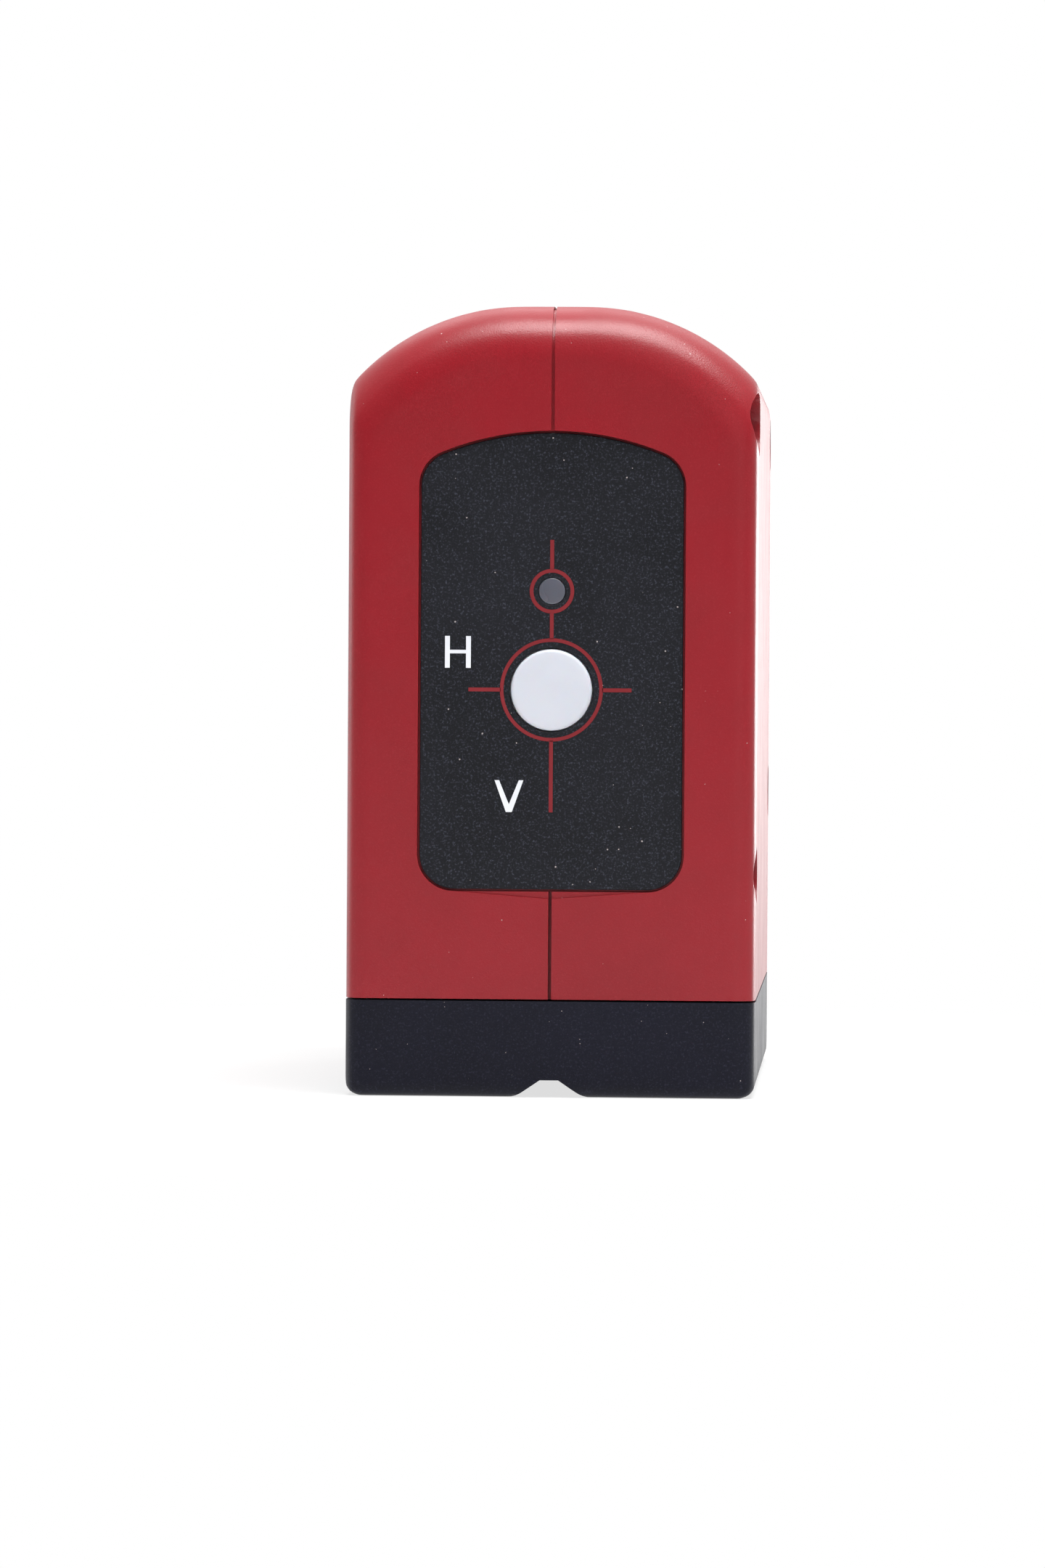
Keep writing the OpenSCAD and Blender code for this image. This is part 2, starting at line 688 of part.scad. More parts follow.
module battery_tray() color("#303036") difference() {
    union() {
        difference() {
            box(-tray_in - tray_wall, tray_in + tray_wall, tray_back, tray_mouth, floor_z, tray_top);
            box(-tray_in, tray_in, contact_y, tray_mouth + 1, floor_z + tray_wall, tray_hi);
        }
        // cusps between the cells
        for (f = [[floor_z + tray_wall, 3], [tray_hi, -3]]) along_y(contact_y - eps, tray_mouth - 3)
            polygon([[-2.6, f[0]], [2.6, f[0]], [0, f[0] + f[1]]]);
    }
    for (s = [-1, 1]) box(s * cell_x - 1.6, s * cell_x + 1.6, tray_back - 1, contact_y + 1,
        cell_z - 0.5, cell_z + 0.5);
}

// the door's side of a cell is at y1, whichever way the cell points
module cell(x, nub_outwards) {
    y0 = nub_outwards ? cell_y0 : cell_y0 + nub_l;
    rod_y(y0, y0 + cell_l - nub_l, x, cell_z, cell_d);
    rod_y(cell_y0, cell_y1, x, cell_z, nub_d);
}

module cell_left() color("gold") cell(-cell_x, true);
module cell_right() color("gold") cell(cell_x, false);

module contact_plate(x) {
    box(x - 4.5, x + 4.5, contact_y, contact_y + contact_t, cell_z - 5, cell_z + 5);
    box(x - 1.5, x + 1.5, tray_back - 1.5, contact_y + eps, cell_z - 0.4, cell_z);
}

module spring_contact() color("silver") {
    contact_plate(-cell_x);
    coil_spring(-cell_x, cell_z, contact_y + contact_t + 0.2, cell_y0 - 0.35, 3.6, 2.4, 3);
}

module flat_contact() color("silver") {
    contact_plate(cell_x);
    rod_y(contact_y + contact_t - eps, cell_y0 - 0.05, cell_x, cell_z, 7, 6);
}

module door_contact() color("silver") {
    box(-cell_x - 5, cell_x + 5, hinge_y - contact_t, hinge_y, cell_z - 4, cell_z + 4);
    rod_y(cell_y1 + 0.05, hinge_y - contact_t + eps, -cell_x, cell_z, 6, 7);
    coil_spring(cell_x, cell_z, hinge_y - contact_t - 0.2, cell_y1 + 0.35, 3.6, 2.4, 4);
}

module door_hinge_pin() color("silver") rod_x(-hinge_pin_half, hinge_pin_half, hinge_y, hinge_z, door_pin_d);

module battery_door() color("brown") difference() {
    union() {
        box(-door_half, door_half, hinge_y, front_y, hinge_z, door_top);
        rod_x(-door_half, door_half, hinge_y, hinge_z, 2 * hinge_r);
    }
    rod_x(-door_half - 1, door_half + 1, hinge_y, hinge_z, door_pin_d + 4 * run_gap);
    // thumb scoop and grip lines
    rod_y(front_y - 0.8, front_y + 1, 0, door_top, 10);
    for (k = [0 : 2]) box(-6, 6, front_y - 0.4, front_y + 1, door_top - 8 - 1.6 * k, door_top - 7.2 - 1.6 * k);
}

// wires from the tray's tabs to the board's socket
function bezier(a, b, c, d, t) =
    pow(1 - t, 3) * a + 3 * t * pow(1 - t, 2) * b + 3 * t * t * (1 - t) * c + pow(t, 3) * d;
module battery_leads() for (s = [-1, 1]) color(s < 0 ? "black" : "red") {
    from = [s * cell_x, tray_back - 1.55, cell_z - 0.2];
    to = [s * 1.8, board_y + board_t + 4.05, board_lo + 7];
    swept([for (i = [0 : 12]) bezier(from, from - [0, 12, 0], to + [0, 10, 0], to, i / 12)], lead_d);
}

// ---------- chassis and gimbal ----------

module chassis() color("lightgray") translate([0, gimbal_y, 0]) difference() {
    union() {
        box(-cheek_out, cheek_out, -chassis_len / 2, chassis_len / 2, chassis_lo, chassis_z);
        for (s = [0, 1]) mirror([s, 0, 0])
            box(cheek_in, cheek_out, -cheek_d / 2, cheek_d / 2, chassis_lo, bridge_z + bridge_t);
        box(-cheek_out, cheek_out, -5, 5, bridge_z, bridge_z + bridge_t);
    }
    for (s = [0, 1]) mirror([s, 0, 0]) {
        rod_x(cheek_out - bearing_w, cheek_out + 1, 0, gimbal_z, bearing_d);
        rod_x(cheek_in - 1, cheek_out, 0, gimbal_z, bearing_d - 1);
        for (p = chassis_fix) rod_x(cheek_in - 1, cheek_out + 1, p[0], gimbal_z + p[1], fix_screw_d + 0.3);
    }
    // way in for the lock's arm
    box(-cheek_out - 1, -cheek_in + 1, -arm_w / 2 - 0.5, arm_w / 2 + 0.5,
        chassis_z, arm_top + lock_travel + 0.6);
}

module chassis_screws() color("dimgray") for (p = chassis_fix)
    translate([-cheek_in, gimbal_y + p[0], gimbal_z + p[1]]) rotate([0, -90, 0])
        screw(fix_screw_d, 6.5, 3.6, 1.1);

module chassis_bearings() color("silver") for (s = [0, 1]) mirror([s, 0, 0])
    translate([cheek_out - bearing_w, gimbal_y, gimbal_z]) rotate([0, 90, 0]) bearing_ring();

module damping_magnets() color("silver") for (sx = [-1, 1], sy = [-1, 1])
    rod_z(chassis_z, chassis_z + magnet_t, sx * magnet_off, gimbal_y + sy * magnet_off, magnet_d);

module gimbal_cross() color("goldenrod") translate([0, gimbal_y, gimbal_z]) difference() {
    box(-cross_w / 2, cross_w / 2, -cross_w / 2, cross_w / 2, -cross_h / 2, cross_h / 2);
    rod_y(-cross_w, cross_w, 0, 0, axle_d + 2 * fit);
    for (s = [0, 1]) mirror([s, 0, 0]) rod_x(1.4, cross_w, 0, 0, axle_d + 2 * fit);
}

module pitch_pins() color("silver") for (s = [0, 1]) mirror([s, 0, 0]) {
    rod_x(1.5, cheek_out - 0.1, gimbal_y, gimbal_z, axle_d);
    rod_x(cross_w / 2, cheek_in - 0.15, gimbal_y, gimbal_z, axle_d + 1);
}

module roll_axle() color("silver") rod_y(gimbal_y - fork_in - fork_t, gimbal_y + fork_in + fork_t,
    0, gimbal_z, axle_d);

// ---------- pendulum ----------

module pendulum_body() color("darkgray") translate([0, gimbal_y, 0]) difference() {
    union() {
        box(-pendulum_w / 2, pendulum_w / 2, -pendulum_d / 2, pendulum_d / 2, block_lo, block_hi);
        for (s = [0, 1]) mirror([0, s, 0]) {
            box(-5, 5, fork_in, fork_in + fork_t, block_hi - eps, gimbal_z);
            rod_y(fork_in, fork_in + fork_t, 0, gimbal_z, 10);
        }
        intersection() {
            rod_z(tail_z - 1, block_lo + 1, 0, 0, tail_d);
            translate([0, 0, gimbal_z]) sphere(pendulum_l, $fn = 200);
        }
    }
    for (s = [0, 1]) mirror([0, s, 0]) {
        rod_y(fork_in + fork_t - bearing_w, fork_in + fork_t + 1, 0, gimbal_z, bearing_d);
        rod_y(fork_in - 1, fork_in + fork_t, 0, gimbal_z, bearing_d - 1);
    }
    for (z = [h_z, v_z]) {
        rod_y(-pendulum_d, pendulum_d, 0, z, barrel_d + 2 * fit);
        rod_x(barrel_d / 2 - 1, pendulum_w, 0, z, axle_d + 0.5);
    }
    for (s = [-1, 1]) rod_z(block_lo - 1, block_lo + 4.2, s * 8, 0, 2);
    rod_y(3, pendulum_d, -3.5, block_lo + 4.5, 3);
    rod_x(2.5, pendulum_w, -5.5, block_lo + 4.5, 3);
}

module pendulum_bearings() color("silver") for (s = [0, 1]) translate([0, gimbal_y, gimbal_z])
    mirror([0, s, 0]) translate([0, fork_in + fork_t - bearing_w, 0]) rotate([-90, 0, 0]) bearing_ring();

module damping_plate() color("chocolate") translate([0, gimbal_y, 0]) difference() {
    rod_z(plate_z, plate_z + plate_t, 0, 0, plate_d);
    rod_z(plate_z - 1, plate_z + plate_t + 1, 0, 0, tail_d + 2 * fit);
    for (s = [-1, 1]) {
        rod_z(plate_z - 1, plate_z + 0.9, s * 8, 0, 3.9);
        rod_z(plate_z, plate_z + plate_t + 1, s * 8, 0, 2.2);
    }
}

module plate_screws() color("dimgray") for (s = [-1, 1])
    translate([s * 8, gimbal_y, plate_z + 0.9]) screw(2, 4, 3.6, 1);

module grub(l, d) difference() {
    cylinder(h = l, d = d);
    translate([0, 0, l - 1.2]) cylinder(h = 2, d = d * 0.5, $fn = 6);
}

module balance_screws() color("dimgray") {
    translate([-3.5, gimbal_y + 3.2, block_lo + 4.5]) rotate([-90, 0, 0]) grub(pendulum_d / 2 - 2.4, 3);
    translate([2.7, gimbal_y - 5.5, block_lo + 4.5]) rotate([0, 90, 0]) grub(pendulum_w / 2 - 2, 3);
}

module barrel_screws() color("dimgray") for (z = [h_z, v_z])
    translate([barrel_d / 2 + 0.02, gimbal_y, z]) rotate([0, 90, 0])
        grub((pendulum_w - barrel_d) / 2, axle_d + 0.5);

// laser module at height z; its rod lens stands upright for the level line, lies flat for the plumb line
module barrel(z) difference() {
    rod_y(barrel_y0, barrel_y1, 0, z, barrel_d);
    rod_y(barrel_y0 - 1, barrel_y1 + 1, 0, z, barrel_d - 2 * barrel_wall);
}
module diode(z) {
    rod_y(barrel_y0 + 1, barrel_y0 + 2.2, 0, z, barrel_d - 2 * barrel_wall - 2 * fit);
    rod_y(barrel_y0 + 2.2 - eps, barrel_y0 + 4.6, 0, z, 4.7);
    for (a = [90, 210, 330]) rod_y(barrel_y0 - 2, barrel_y0 + 1 + eps, cos(a), z + sin(a), 0.45);
}
module collimator(z) {
    rod_y(barrel_y0 + 10, barrel_y0 + 12.5, 0, z, barrel_d - 2 * barrel_wall - 2 * fit);
    rod_y(barrel_y0 + 12.4, barrel_y0 + 13.2, 0, z, 5, 3.4);
}
module line_lens(z, upright) translate([0, barrel_y1 - 2.2, z]) rotate([0, upright ? 0 : 90, 0])
    cylinder(h = 6.5, d = line_lens_d, center = true);

module h_barrel() color("darkgoldenrod") barrel(h_z);
module h_diode() color("gold") diode(h_z);
module h_collimator() color("lightblue") collimator(h_z);
module h_line_lens() color("lightcyan") line_lens(h_z, true);
module v_barrel() color("darkgoldenrod") barrel(v_z);
module v_diode() color("gold") diode(v_z);
module v_collimator() color("lightblue") collimator(v_z);
module v_line_lens() color("lightcyan") line_lens(v_z, false);

// ---------- pendulum lock ----------

module lock_thumb() color("#333338") difference() {
    union() {
        box(thumb_back - thumb_t, thumb_back, gimbal_y - thumb_w / 2, gimbal_y + thumb_w / 2,
            thumb_z, thumb_z + thumb_h);
        box(thumb_back - eps, arm_x, gimbal_y - arm_w / 2, gimbal_y + arm_w / 2, stem_z, stem_z + stem_h);
    }
    for (k = [0 : 4]) box(thumb_back - thumb_t - 1, thumb_back - thumb_t + 0.5,
        gimbal_y - thumb_w / 2 + 1.5, gimbal_y + thumb_w / 2 - 1.5,
        thumb_z + 1.6 + 2 * k, thumb_z + 2.4 + 2 * k);
    rod_x(arm_x - 3.6, arm_x + 1, gimbal_y, stem_z + stem_h / 2, 2);
}

module lock_arm() color("silver") difference() {
    union() {
        box(arm_x, arm_x + 1.2, gimbal_y - arm_w / 2, gimbal_y + arm_w / 2, arm_top - arm_t, stem_z + stem_h);
        box(arm_x, pad_d / 2 + 0.5, gimbal_y - arm_w / 2, gimbal_y + arm_w / 2, arm_top - arm_t, arm_top);
    }
    rod_x(arm_x - 1, arm_x + 3, gimbal_y, stem_z + stem_h / 2, 2.2);
}

module lock_screw() color("dimgray") translate([arm_x + 1.2, gimbal_y, stem_z + stem_h / 2])
    rotate([0, -90, 0]) screw(2, 4.4, 3.4, 0.6);

module lock_pad() color("#151515") rod_z(arm_top, arm_top + pad_t, 0, gimbal_y, pad_d);

// ---------- assembly ----------
left_shell();
right_shell();
case_screws();
label_panel();
lamp_window();
status_lamp();
main_board();
board_components();
tact_switch();
board_screws();
base_housing();
base_screws();
tripod_insert();
base_magnets();
window_gasket();
window_bezel();
window_glass();
battery_tray();
cell_left();
cell_right();
spring_contact();
flat_contact();
battery_leads();
door_hinge_pin();
battery_door();
door_contact();
chassis();
chassis_screws();
chassis_bearings();
damping_magnets();
key_cap();
switch_plunger();
lock_thumb();
lock_arm();
lock_screw();
lock_pad();
gimbal_cross();
pitch_pins();
roll_axle();
pendulum_body();
pendulum_bearings();
damping_plate();
plate_screws();
balance_screws();
barrel_screws();
h_barrel();
h_diode();
h_collimator();
h_line_lens();
v_barrel();
v_diode();
v_collimator();
v_line_lens();
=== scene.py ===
# %% [markdown]
# # A compact cross-line laser level
#
# The tool is a small upright box on a black base. Two red half shells meet at a seam
# down the middle, a dark key panel fills one end and a laser window the other. The CAD
# model is loaded as a fixed frame, and every piece made here sits on it, in metres.

# %% Load the frame
import json
import math

import bmesh
import bpy
from mathutils import Matrix, Vector
from mathutils.bvhtree import BVHTree

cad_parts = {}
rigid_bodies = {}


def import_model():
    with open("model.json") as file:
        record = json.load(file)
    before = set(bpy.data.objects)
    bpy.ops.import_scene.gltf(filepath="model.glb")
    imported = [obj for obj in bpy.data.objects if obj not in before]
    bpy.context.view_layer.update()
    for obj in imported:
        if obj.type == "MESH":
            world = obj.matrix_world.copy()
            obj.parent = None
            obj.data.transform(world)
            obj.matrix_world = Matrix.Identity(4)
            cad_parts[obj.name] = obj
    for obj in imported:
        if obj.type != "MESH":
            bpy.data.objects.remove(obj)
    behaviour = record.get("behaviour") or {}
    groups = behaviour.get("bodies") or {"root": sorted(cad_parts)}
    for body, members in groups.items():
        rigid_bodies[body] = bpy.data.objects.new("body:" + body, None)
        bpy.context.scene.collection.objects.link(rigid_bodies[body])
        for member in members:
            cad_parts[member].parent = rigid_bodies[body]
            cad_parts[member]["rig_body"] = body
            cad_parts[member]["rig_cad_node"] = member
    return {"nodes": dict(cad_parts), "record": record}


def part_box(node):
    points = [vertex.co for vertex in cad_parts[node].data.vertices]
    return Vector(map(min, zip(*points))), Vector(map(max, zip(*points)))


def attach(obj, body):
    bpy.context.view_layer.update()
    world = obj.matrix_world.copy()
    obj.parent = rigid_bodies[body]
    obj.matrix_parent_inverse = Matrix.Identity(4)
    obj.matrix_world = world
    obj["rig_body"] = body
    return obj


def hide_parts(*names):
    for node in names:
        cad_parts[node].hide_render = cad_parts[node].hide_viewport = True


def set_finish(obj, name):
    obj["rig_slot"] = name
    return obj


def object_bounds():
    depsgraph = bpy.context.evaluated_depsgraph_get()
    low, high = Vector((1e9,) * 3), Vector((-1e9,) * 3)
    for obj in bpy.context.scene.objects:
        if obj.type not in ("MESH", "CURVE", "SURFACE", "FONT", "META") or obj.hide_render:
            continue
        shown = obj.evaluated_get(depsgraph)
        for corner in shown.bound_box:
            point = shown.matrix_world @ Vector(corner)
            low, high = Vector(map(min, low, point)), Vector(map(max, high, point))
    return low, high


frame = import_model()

cad_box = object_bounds()
nodes = frame["nodes"]
MM = 0.001
print("CAD box in mm", [[round(c / MM, 2) for c in corner] for corner in cad_box])

# %% [markdown]
# ## Camera
# A product shot of a small tool is taken with a long lens from well back, so that its
# sides hardly converge. The camera stands a few degrees to the right of the key panel,
# almost level with it, and leans a third of a degree. It is placed by distance and
# angle from an aim point on the front face, which keeps each of those easy to change.

# %% Camera
CAMERA_DISTANCE = 900 * MM
CAMERA_TURN = math.radians(3.1)
CAMERA_RISE = math.radians(1)
CAMERA_LEAN = math.radians(0.36)
AIM_X, AIM_Z = -3.8 * MM, 42.3 * MM
FRAME_HEIGHT = 211.3 * MM  # the height of the front plane that the view takes in
SENSOR = 36  # mm, on the longer side of the upright view

front_face = cad_box[0].y
aim = Vector((AIM_X, front_face, AIM_Z))
scene = bpy.context.scene
scene.view_settings.view_transform = "Standard"
camera = bpy.data.objects.new("camera", bpy.data.cameras.new("camera"))
scene.collection.objects.link(camera)
scene.camera = camera
camera.data.sensor_width = SENSOR
camera.data.lens = SENSOR * CAMERA_DISTANCE / FRAME_HEIGHT
camera.data.clip_start = 0.01
away = Vector((math.sin(CAMERA_TURN) * math.cos(CAMERA_RISE),
               -math.cos(CAMERA_TURN) * math.cos(CAMERA_RISE), math.sin(CAMERA_RISE)))
camera.location = aim + CAMERA_DISTANCE * away
looking = away.to_track_quat("Z", "Y").to_matrix()
camera.rotation_euler = (looking @ Matrix.Rotation(CAMERA_LEAN, 3, "Z")).to_euler()
print("lens in mm", round(camera.data.lens, 1))

# %% [markdown]
# ## Helpers for meshes
# A CAD node comes as loose triangles, one patch for each CAD face. A copy of it can be
# welded into one closed skin, its flat patches joined up, and its sharp edges rounded
# with the bevel operator, as a moulder breaks each edge of a tool. The flats stay where
# the CAD part has them, and only the edges give way by a tenth or two of a millimetre.
# That adds the thin bright line that a real edge shows.

# %% Mesh helpers
SMOOTH_ANGLE = math.radians(32)  # an edge that turns less than this is shaded smooth
FLAT_ANGLE = math.radians(0.2)  # patches that meet at less than this are one face
EDGE_ANGLE = math.radians(50)  # an edge that turns more than this is broken
WELD = 0.002 * MM


def flats_kept_flat(piece):
    """Its mesh with normals weighted by area, so that a rounding doesn't tilt its flats."""
    weigh = piece.modifiers.new("flats", "WEIGHTED_NORMAL")
    weigh.mode = "FACE_AREA"
    weigh.keep_sharp = True
    whole = piece.evaluated_get(bpy.context.evaluated_depsgraph_get())
    mesh = bpy.data.meshes.new_from_object(whole)
    piece.modifiers.clear()
    mesh.name = piece.name
    return mesh


def finished(name, bm, body, slot, replaces=(), smooth=SMOOTH_ANGLE):
    """Turns a bmesh into a piece that rides on a CAD body."""
    for shaded in bm.faces:
        shaded.smooth = True
    for edge in bm.edges:
        edge.smooth = edge.is_manifold and edge.calc_face_angle(0) < smooth
    mesh = bpy.data.meshes.new(name)
    bm.to_mesh(mesh)
    bm.free()
    piece = bpy.data.objects.new(name, mesh)
    scene.collection.objects.link(piece)
    piece.data = flats_kept_flat(piece)
    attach(piece, body)
    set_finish(piece, slot)
    if replaces:
        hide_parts(*replaces)
    print(name, len(mesh.polygons), "faces")
    return piece


def welded(node):
    """A welded bmesh copy of a CAD node, with its flat patches joined up."""
    bm = bmesh.new()
    bm.from_mesh(nodes[node].data)
    bmesh.ops.remove_doubles(bm, verts=bm.verts, dist=WELD)
    bmesh.ops.dissolve_limit(bm, angle_limit=FLAT_ANGLE, verts=bm.verts, edges=bm.edges)
    return bm


def ease_edges(bm, width, segments=2, wanted=None):
    """Rounds the sharp outer edges, or only those that wanted(edge) keeps."""
    sharp = [e for e in bm.edges if e.is_manifold and e.is_convex
             and e.calc_face_angle(0) > EDGE_ANGLE and (wanted is None or wanted(e))]
    bmesh.ops.bevel(bm, geom=sharp, offset=width, offset_type="OFFSET", affect="EDGES",
                    segments=segments, profile=0.5, material=-1, clamp_overlap=True)
    return len(sharp)


def eased_copy(name, node, width, segments=2):
    """A piece that stands for a CAD node, with its edges broken."""
    bm = welded(node)
    ease_edges(bm, width, segments)
    return finished(name, bm, nodes[node]["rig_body"], slots[node], [node])


slots = {part["node"]: part["material_slot"] for part in frame["record"]["subparts"]}
print(len(slots), "nodes with a material slot")

# %% [markdown]
# ## A smooth outer form
# The body is one smooth moulded form: an arched top with a generous rounding at both
# ends, cut off by flat sides whose edges are rounded too. Where three roundings meet, a
# real mould is blended by hand, which CAD solids aren't. The form could be sculpted or
# subdivided, but it is safest to start from the CAD skin itself: the hull of the two
# halves is remeshed finely, relaxed a little and used to trim the CAD shells. Openings,
# screw pits and the inside come from the CAD parts. The skin moves by up to 0.4 mm, and
# by half a millimetre at the sharpest corners.

# %% Smooth outer form
INSET = 0.02 * MM  # the blend lies this far under the CAD skin, so that it always cuts
EXTRA = 6 * MM  # how far the hull runs on past an end that another piece hides
SKIN = 0.03 * MM  # a rim this near to the hull lies on the outside


def evaluated(obj):
    """The mesh of an object with its modifiers applied, as a bmesh; the object goes."""
    bm = bmesh.new()
    bm.from_object(obj, bpy.context.evaluated_depsgraph_get())
    bpy.data.objects.remove(obj)
    return bm


def temporary(bm):
    """A short-lived object made of a bmesh, which is used up."""
    mesh = bpy.data.meshes.new("temporary")
    bm.to_mesh(mesh)
    bm.free()
    obj = bpy.data.objects.new("temporary", mesh)
    scene.collection.objects.link(obj)
    return obj


def hull_of(names, low, high):
    """The convex hull of CAD nodes between two heights, open ends made longer."""
    bm = bmesh.new()
    for name in names:
        bm.from_mesh(nodes[name].data)
    bmesh.ops.delete(bm, geom=bm.edges[:], context="EDGES_FACES")
    outside = [v for v in bm.verts if not low - WELD < v.co.z < high + WELD]
    bmesh.ops.delete(bm, geom=outside, context="VERTS")
    bmesh.ops.remove_doubles(bm, verts=bm.verts, dist=WELD)
    for level, step in ((low, -EXTRA), (high, EXTRA)):
        if 0 < level < cad_box[1].z - WELD:
            ring = [v for v in bm.verts if abs(v.co.z - level) < WELD]
            new = bmesh.ops.extrude_vert_indiv(bm, verts=ring)["verts"]
            bmesh.ops.translate(bm, verts=new, vec=(0, 0, step))
    bmesh.ops.convex_hull(bm, input=bm.verts[:])
    inside = [v for v in bm.verts if not v.link_faces]
    bmesh.ops.delete(bm, geom=inside, context="VERTS")
    bmesh.ops.recalc_face_normals(bm, faces=bm.faces)
    return bm


def blended(hull, voxel, rounds):
    """The hull with its creases relaxed, smaller by the inset on each side."""
    obj = temporary(hull.copy())
    remesh = obj.modifiers.new("remesh", "REMESH")
    remesh.mode = "VOXEL"
    remesh.voxel_size = voxel
    bm = evaluated(obj)
    for _ in range(rounds):
        bmesh.ops.smooth_vert(bm, verts=bm.verts, factor=0.5, use_axis_x=True,
                              use_axis_y=True, use_axis_z=True)
    middle = (cad_box[0] + cad_box[1]) / 2
    half = (cad_box[1] - cad_box[0]) / 2
    shrink = [1 - INSET / h for h in half]
    bmesh.ops.scale(bm, vec=shrink, space=Matrix.Translation(-middle), verts=bm.verts)
    return bm


def trimmed(node, form, hull_tree, ease, groove=None):
    """A CAD node with its outer rims broken, then trimmed by the blended form.

    groove is an object that is cut away too, and is used up.
    """
    bm = welded(node)

    def on_skin(edge):
        return all(hull_tree.find_nearest(v.co)[3] < SKIN for v in edge.verts)

    rims = ease_edges(bm, ease, wanted=on_skin)
    obj, cutter = temporary(bm), temporary(form.copy())
    cutters = [(cutter, "INTERSECT")]
    if groove:
        cutters.append((groove, "DIFFERENCE"))
    for tool, operation in cutters:
        cut = obj.modifiers.new("trim", "BOOLEAN")
        cut.operation = operation
        cut.solver = "MANIFOLD"
        cut.object = tool
    bm = evaluated(obj)
    for tool, _ in cutters:
        bpy.data.objects.remove(tool)
    bmesh.ops.remove_doubles(bm, verts=bm.verts, dist=WELD)
    print(node, "rims broken", rims, "faces", len(bm.faces))
    return bm


# %% [markdown]
# ## Half shells
# The two red halves are screwed together along a seam in the middle. Below the key panel
# no screw pulls them tight, so the seam is cut wider and deeper there, by a thin bar that
# stands in the front face. A painted line would be quicker, but only a real gap goes dark
# by itself from every side.

# %% Half shells
SHELL_GAP = 0.25 * MM  # between the base and the shells
SEAM_WIDTH, SEAM_DEPTH = 0.44 * MM, 1.5 * MM
SHELL_VOXEL, SHELL_ROUNDS, SHELL_EASE = 0.8 * MM, 5, 0.2 * MM

base_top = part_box("base_housing")[1].z
body_hull = hull_of(["left_shell", "right_shell"], base_top + SHELL_GAP, cad_box[1].z)
body_tree = BVHTree.FromBMesh(body_hull)
body_blend = blended(body_hull, SHELL_VOXEL, SHELL_ROUNDS)
print("body form", len(body_hull.faces), "hull faces,", len(body_blend.faces), "blended")
seam_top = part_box("label_panel")[0].z
seam_spot = Matrix.Translation((0, front_face, seam_top / 2))
seam_size = Matrix.Diagonal((SEAM_WIDTH, 2 * SEAM_DEPTH, seam_top, 1))
for side in ("left", "right"):
    node = side + "_shell"
    seam = bmesh.new()
    bmesh.ops.create_cube(seam, size=1, matrix=seam_spot @ seam_size)
    bm = trimmed(node, body_blend, body_tree, SHELL_EASE, temporary(seam))
    finished(side + "_half_shell", bm, "case", "red_shell", [node])

# %% [markdown]
# ## Base
# The black base is one moulding with softly rounded lower edges and a groove along its
# underside. It is a smaller part than the shells, so the same blend gets a finer mesh,
# fewer rounds and narrower broken rims.

# %% Base
BASE_VOXEL, BASE_ROUNDS, BASE_EASE = 0.6 * MM, 4, 0.12 * MM

base_hull = hull_of(["base_housing"], 0, base_top)
base_tree = BVHTree.FromBMesh(base_hull)
base_blend = blended(base_hull, BASE_VOXEL, BASE_ROUNDS)
finished("base_body", trimmed("base_housing", base_blend, base_tree, BASE_EASE), "case",
         "base_black", ["base_housing"])
for bm in (body_hull, body_blend, base_hull, base_blend):
    bm.free()

# %% [markdown]
# ## Key panel and its print
# The panel is a thin plate with an arched top, pressed into its recess. Its rim is
# rolled off slightly. The print is a thin layer of ink: a cross of lines through two
# rings, one round the key and one round the lamp, and the letters H and V. Ink could be
# painted by a material, but as thin pieces it stays sharp at any distance.

# %% Panel
PANEL_EASE = 0.13 * MM
eased_copy("key_panel", "label_panel", PANEL_EASE, segments=3)
panel_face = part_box("label_panel")[0].y
key_low, key_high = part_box("key_cap")
key_z = (key_low.z + key_high.z) / 2
lamp_low, lamp_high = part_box("lamp_window")
lamp_z = (lamp_low.z + lamp_high.z) / 2
print("key and lamp heights in mm", round(key_z / MM, 2), round(lamp_z / MM, 2))

# %% [markdown]
# ## Drawing with ink
# Each print is drawn flat, in millimetres, stood up on the panel's face and given the
# thickness of a coat of ink. It starts a hair under the face, so that no light gets
# between the two.

# %% Ink helpers
INK = 0.03 * MM
SUNK = 0.01 * MM


def raise_ink(bm):
    """Gives a flat print its thickness, outwards from the panel's face."""
    bmesh.ops.recalc_face_normals(bm, faces=bm.faces)
    made = bmesh.ops.extrude_face_region(bm, geom=bm.faces[:])["geom"]
    moved = [g for g in made if isinstance(g, bmesh.types.BMVert)]
    bmesh.ops.translate(bm, verts=moved, vec=(0, -INK - SUNK, 0))
    bmesh.ops.recalc_face_normals(bm, faces=bm.faces)
    return bm


def upright(x, z):
    """From flat x-y drawing to the panel's face, centred on x, z."""
    return Matrix.Translation((x, panel_face + SUNK, z)) @ Matrix.Rotation(math.pi / 2, 4, "X")


def ink_bar(bm, x0, x1, z0, z1):
    """A flat bar between two widths and two heights, in mm."""
    spot = Matrix.Translation(((x0 + x1) / 2 * MM, (z0 + z1) / 2 * MM, 0))
    size = Matrix.Diagonal(((x1 - x0) * MM, (z1 - z0) * MM, 1, 1))
    bmesh.ops.create_grid(bm, x_segments=1, y_segments=1, size=0.5, matrix=spot @ size)


def ink_ring(bm, outer, inner, segments=96):
    """A flat ring spun from a radial line."""
    start = [bm.verts.new((r * MM, 0, 0)) for r in (inner, outer)]
    line = bm.edges.new(start)
    bmesh.ops.spin(bm, geom=start + [line], cent=(0, 0, 0), axis=(0, 0, 1), angle=2 * math.pi,
                   steps=segments, use_merge=True, use_duplicate=False)


